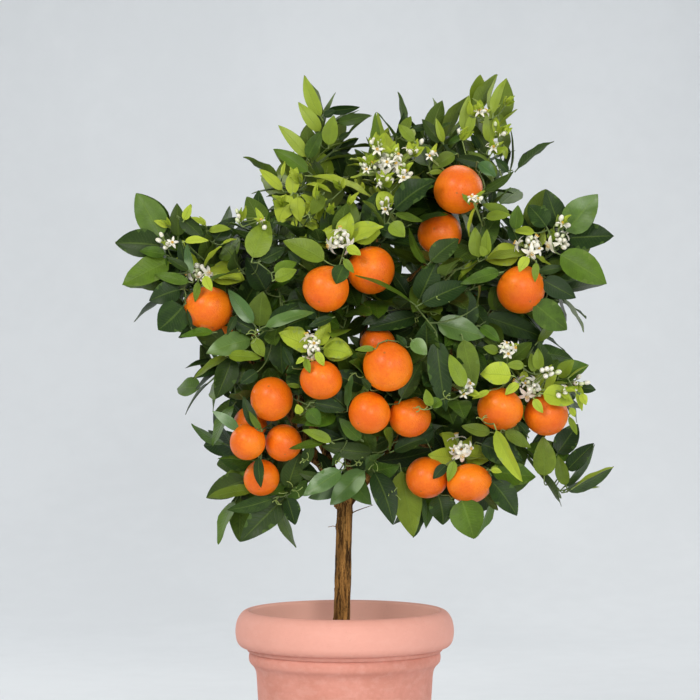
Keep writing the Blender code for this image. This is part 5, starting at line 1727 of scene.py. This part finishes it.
GAPS = (
    (402, 245, 6), (405, 272, 7), (326, 239, 4), (277, 363, 9), (512, 341, 10), (476, 425, 8),
    (313, 462, 8), (333, 466, 5), (534, 446, 8), (246, 283, 5), (420, 205, 5), (366, 151, 9),
    (272, 195, 6), (266, 205, 6), (272, 245, 7), (311, 130, 6), (320, 155, 6), (307, 178, 5),
    (236, 411, 7), (239, 473, 7), (404, 275, 4), (419, 209, 4), (482, 101, 5), (284, 170, 5),
    (373, 160, 5), (420, 137, 4), (233, 448, 5),
)
FRESH = ((300, 190, 48), (384, 168, 36), (488, 112, 34))
BOX_ROOM = 0.008
STEM_CLEAR = 0.0022
LEAF_LENGTH = 0.066
LEAF_WIDTH = 0.0345
LEAF_TILT = 0.35
FRONT_HALF = 0.02
LEAF_PLACES = 3
LEAF_TURN = 2.4
TWIG_STEP = 0.012
ROSETTE = 4
ROOT_DEPTH = 0.0012
TWIG_TRIES = 900
LEAF_TRIES = 1500
TWIG_START = (0.7, 0.8, 0.5)
LEAF_START = (0.6, 0.7, 0.4)


def in_crown(spot):
    """Whether the camera sees a point inside the crown's edge and outside its gaps."""
    x, y = pixel_of(spot)
    if any(math.hypot(x - gap_x, y - gap_y) < reach for gap_x, gap_y, reach in GAPS):
        return False
    inside = False
    for (ax, ay), (bx, by) in zip(CROWN_EDGE, CROWN_EDGE[1:] + CROWN_EDGE[:1]):
        if (ay > y) != (by > y) and x < ax + (y - ay) * (bx - ax) / (by - ay):
            inside = not inside
    return inside


def hides_seen(spot):
    """Whether a point lies between the camera and a fruit, a bloom or a leaf that it shows."""
    return spot.y < seen_fronts.get(cell_of(spot), -1.0) + 0.002


box_low = solid_box[0] - Vector((BOX_ROOM, BOX_ROOM, 0))
box_high = solid_box[1] + Vector((BOX_ROOM, BOX_ROOM, BOX_ROOM))


def room_for(points):
    """A kite's tree and cells if it stays in the crown and clear of all that has grown so far."""
    for spot in points:
        if any(not low <= value <= high for low, value, high in zip(box_low, spot, box_high)):
            return None
        if not in_crown(spot):
            return None
    if any(hides_seen(spot) for spot in points):
        return None
    return clear_of_all(points)


def face_out(along, spot, draw):
    """The upper side of a leaf: square to its length and turned outward and up to the light."""
    light = 0.8 * outward_from(spot) + Vector((0, 0, 0.45)) + LEAF_TILT * any_way(draw)
    if spot.y < FRONT_HALF:
        light.y -= 0.35
    up = light - along * light.dot(along)
    if up.length < 0.2:
        return None
    return up.normalized()


def try_leaf(body, foot, along, draw):
    """Grows a leaf at the foot if there is room for it."""
    young = 0.0
    for _ in range(LEAF_PLACES):
        way = (along + 0.30 * any_way(draw)).normalized()
        length = LEAF_LENGTH * draw.uniform(0.82, 1.16)
        width = length * LEAF_WIDTH / LEAF_LENGTH * draw.uniform(0.86, 1.12)
        across, down = pixel_of(foot)
        if foot.y < 0.0 and any(math.hypot(across - x, down - y) < reach for x, y, reach in FRESH):
            length *= 0.55
            width *= 0.40
            young = draw.uniform(0.5, 0.95)
        up = face_out(way, foot + way * length / 2, draw)
        if up is None:
            continue
        blade = (foot, way, up, length, width)
        if any(hides_seen(spot) for spot in samples_of(*blade)):
            continue
        outline = kite(*blade)
        found = room_for(outline)
        if found is None:
            continue
        keep_room(found)
        youth, light, bluish_gloss_and_sheen, _ = leaf_look(outline[4], draw, young)
        look = (youth, light if young else 0.6 * light, bluish_gloss_and_sheen, 1.0)
        body.add_leaf(
            *blade, draw, look, lift=draw.uniform(0.08, 0.34), keel=draw.uniform(0.10, 0.42),
            wave=1.4,
        )
        return True
    return False


def grow_twig(body, foot, way, draw):
    """A side twig with leaves, kept if any of them finds room."""
    length = draw.uniform(0.03, 0.075)
    path = [foot]
    steps = max(3, round(length / TWIG_STEP))
    for _ in range(steps):
        way = way + 0.12 * outward_from(path[-1]) + Vector((0, 0, 0.10)) + 0.14 * any_way(draw)
        way = way.normalized()
        path.append(path[-1] + way * length / steps)
    for spot in path[2:]:
        if solid_tree.find_nearest(spot, STEM_CLEAR)[0] is not None:
            return
        if not in_crown(spot) or hides_seen(spot):
            return
    turn = draw.uniform(0, 6.28)
    grown = False
    for i in range(1, steps):
        turn += LEAF_TURN
        along = (path[i + 1] - path[i - 1]).normalized()
        side = along.orthogonal().normalized()
        radial = turned_way(side, along.cross(side), turn)
        grown |= try_leaf(body, path[i], (0.62 * along + 0.9 * radial).normalized(), draw)
    along = (path[-1] - path[-2]).normalized()
    side = along.orthogonal().normalized()
    for k in range(ROSETTE):
        turn += LEAF_TURN
        radial = turned_way(side, along.cross(side), turn)
        lean = 0.35 if k == 0 else 0.95
        foot = path[-1] - along * 0.002 * k
        grown |= try_leaf(body, foot, (along + lean * radial).normalized(), draw)
    if grown:
        radii = [0.0014 - 0.0006 * i / steps for i in range(steps + 1)]
        body.add_tube(path, radii, 6, 0, (0.0, 0.5, 0.0, 1.0))


crown_roots = [root for root in roots if in_crown(root[1])]
root_sums = list(itertools.accumulate(root[4] for root in crown_roots))
for number in range(TWIG_TRIES + LEAF_TRIES):
    crown_draw = random.Random(number)
    name, spot, way, normal, _ = crown_draw.choices(crown_roots, cum_weights=root_sums)[0]
    grow, (by_stem, by_chance, by_light) = (
        (grow_twig, TWIG_START) if number < TWIG_TRIES else (try_leaf, LEAF_START)
    )
    along = way if way.dot(outward_from(spot)) > 0 else -way
    radial = (normal + by_chance * any_way(crown_draw)).normalized()
    start = (by_stem * along + radial + by_light * outward_from(spot)).normalized()
    grow(bodies[name], spot - ROOT_DEPTH * normal, start, crown_draw)

for name in sprays:
    bodies[name].piece(name.replace("spray", "leafy_spray"), green_parts, "leaf", name)
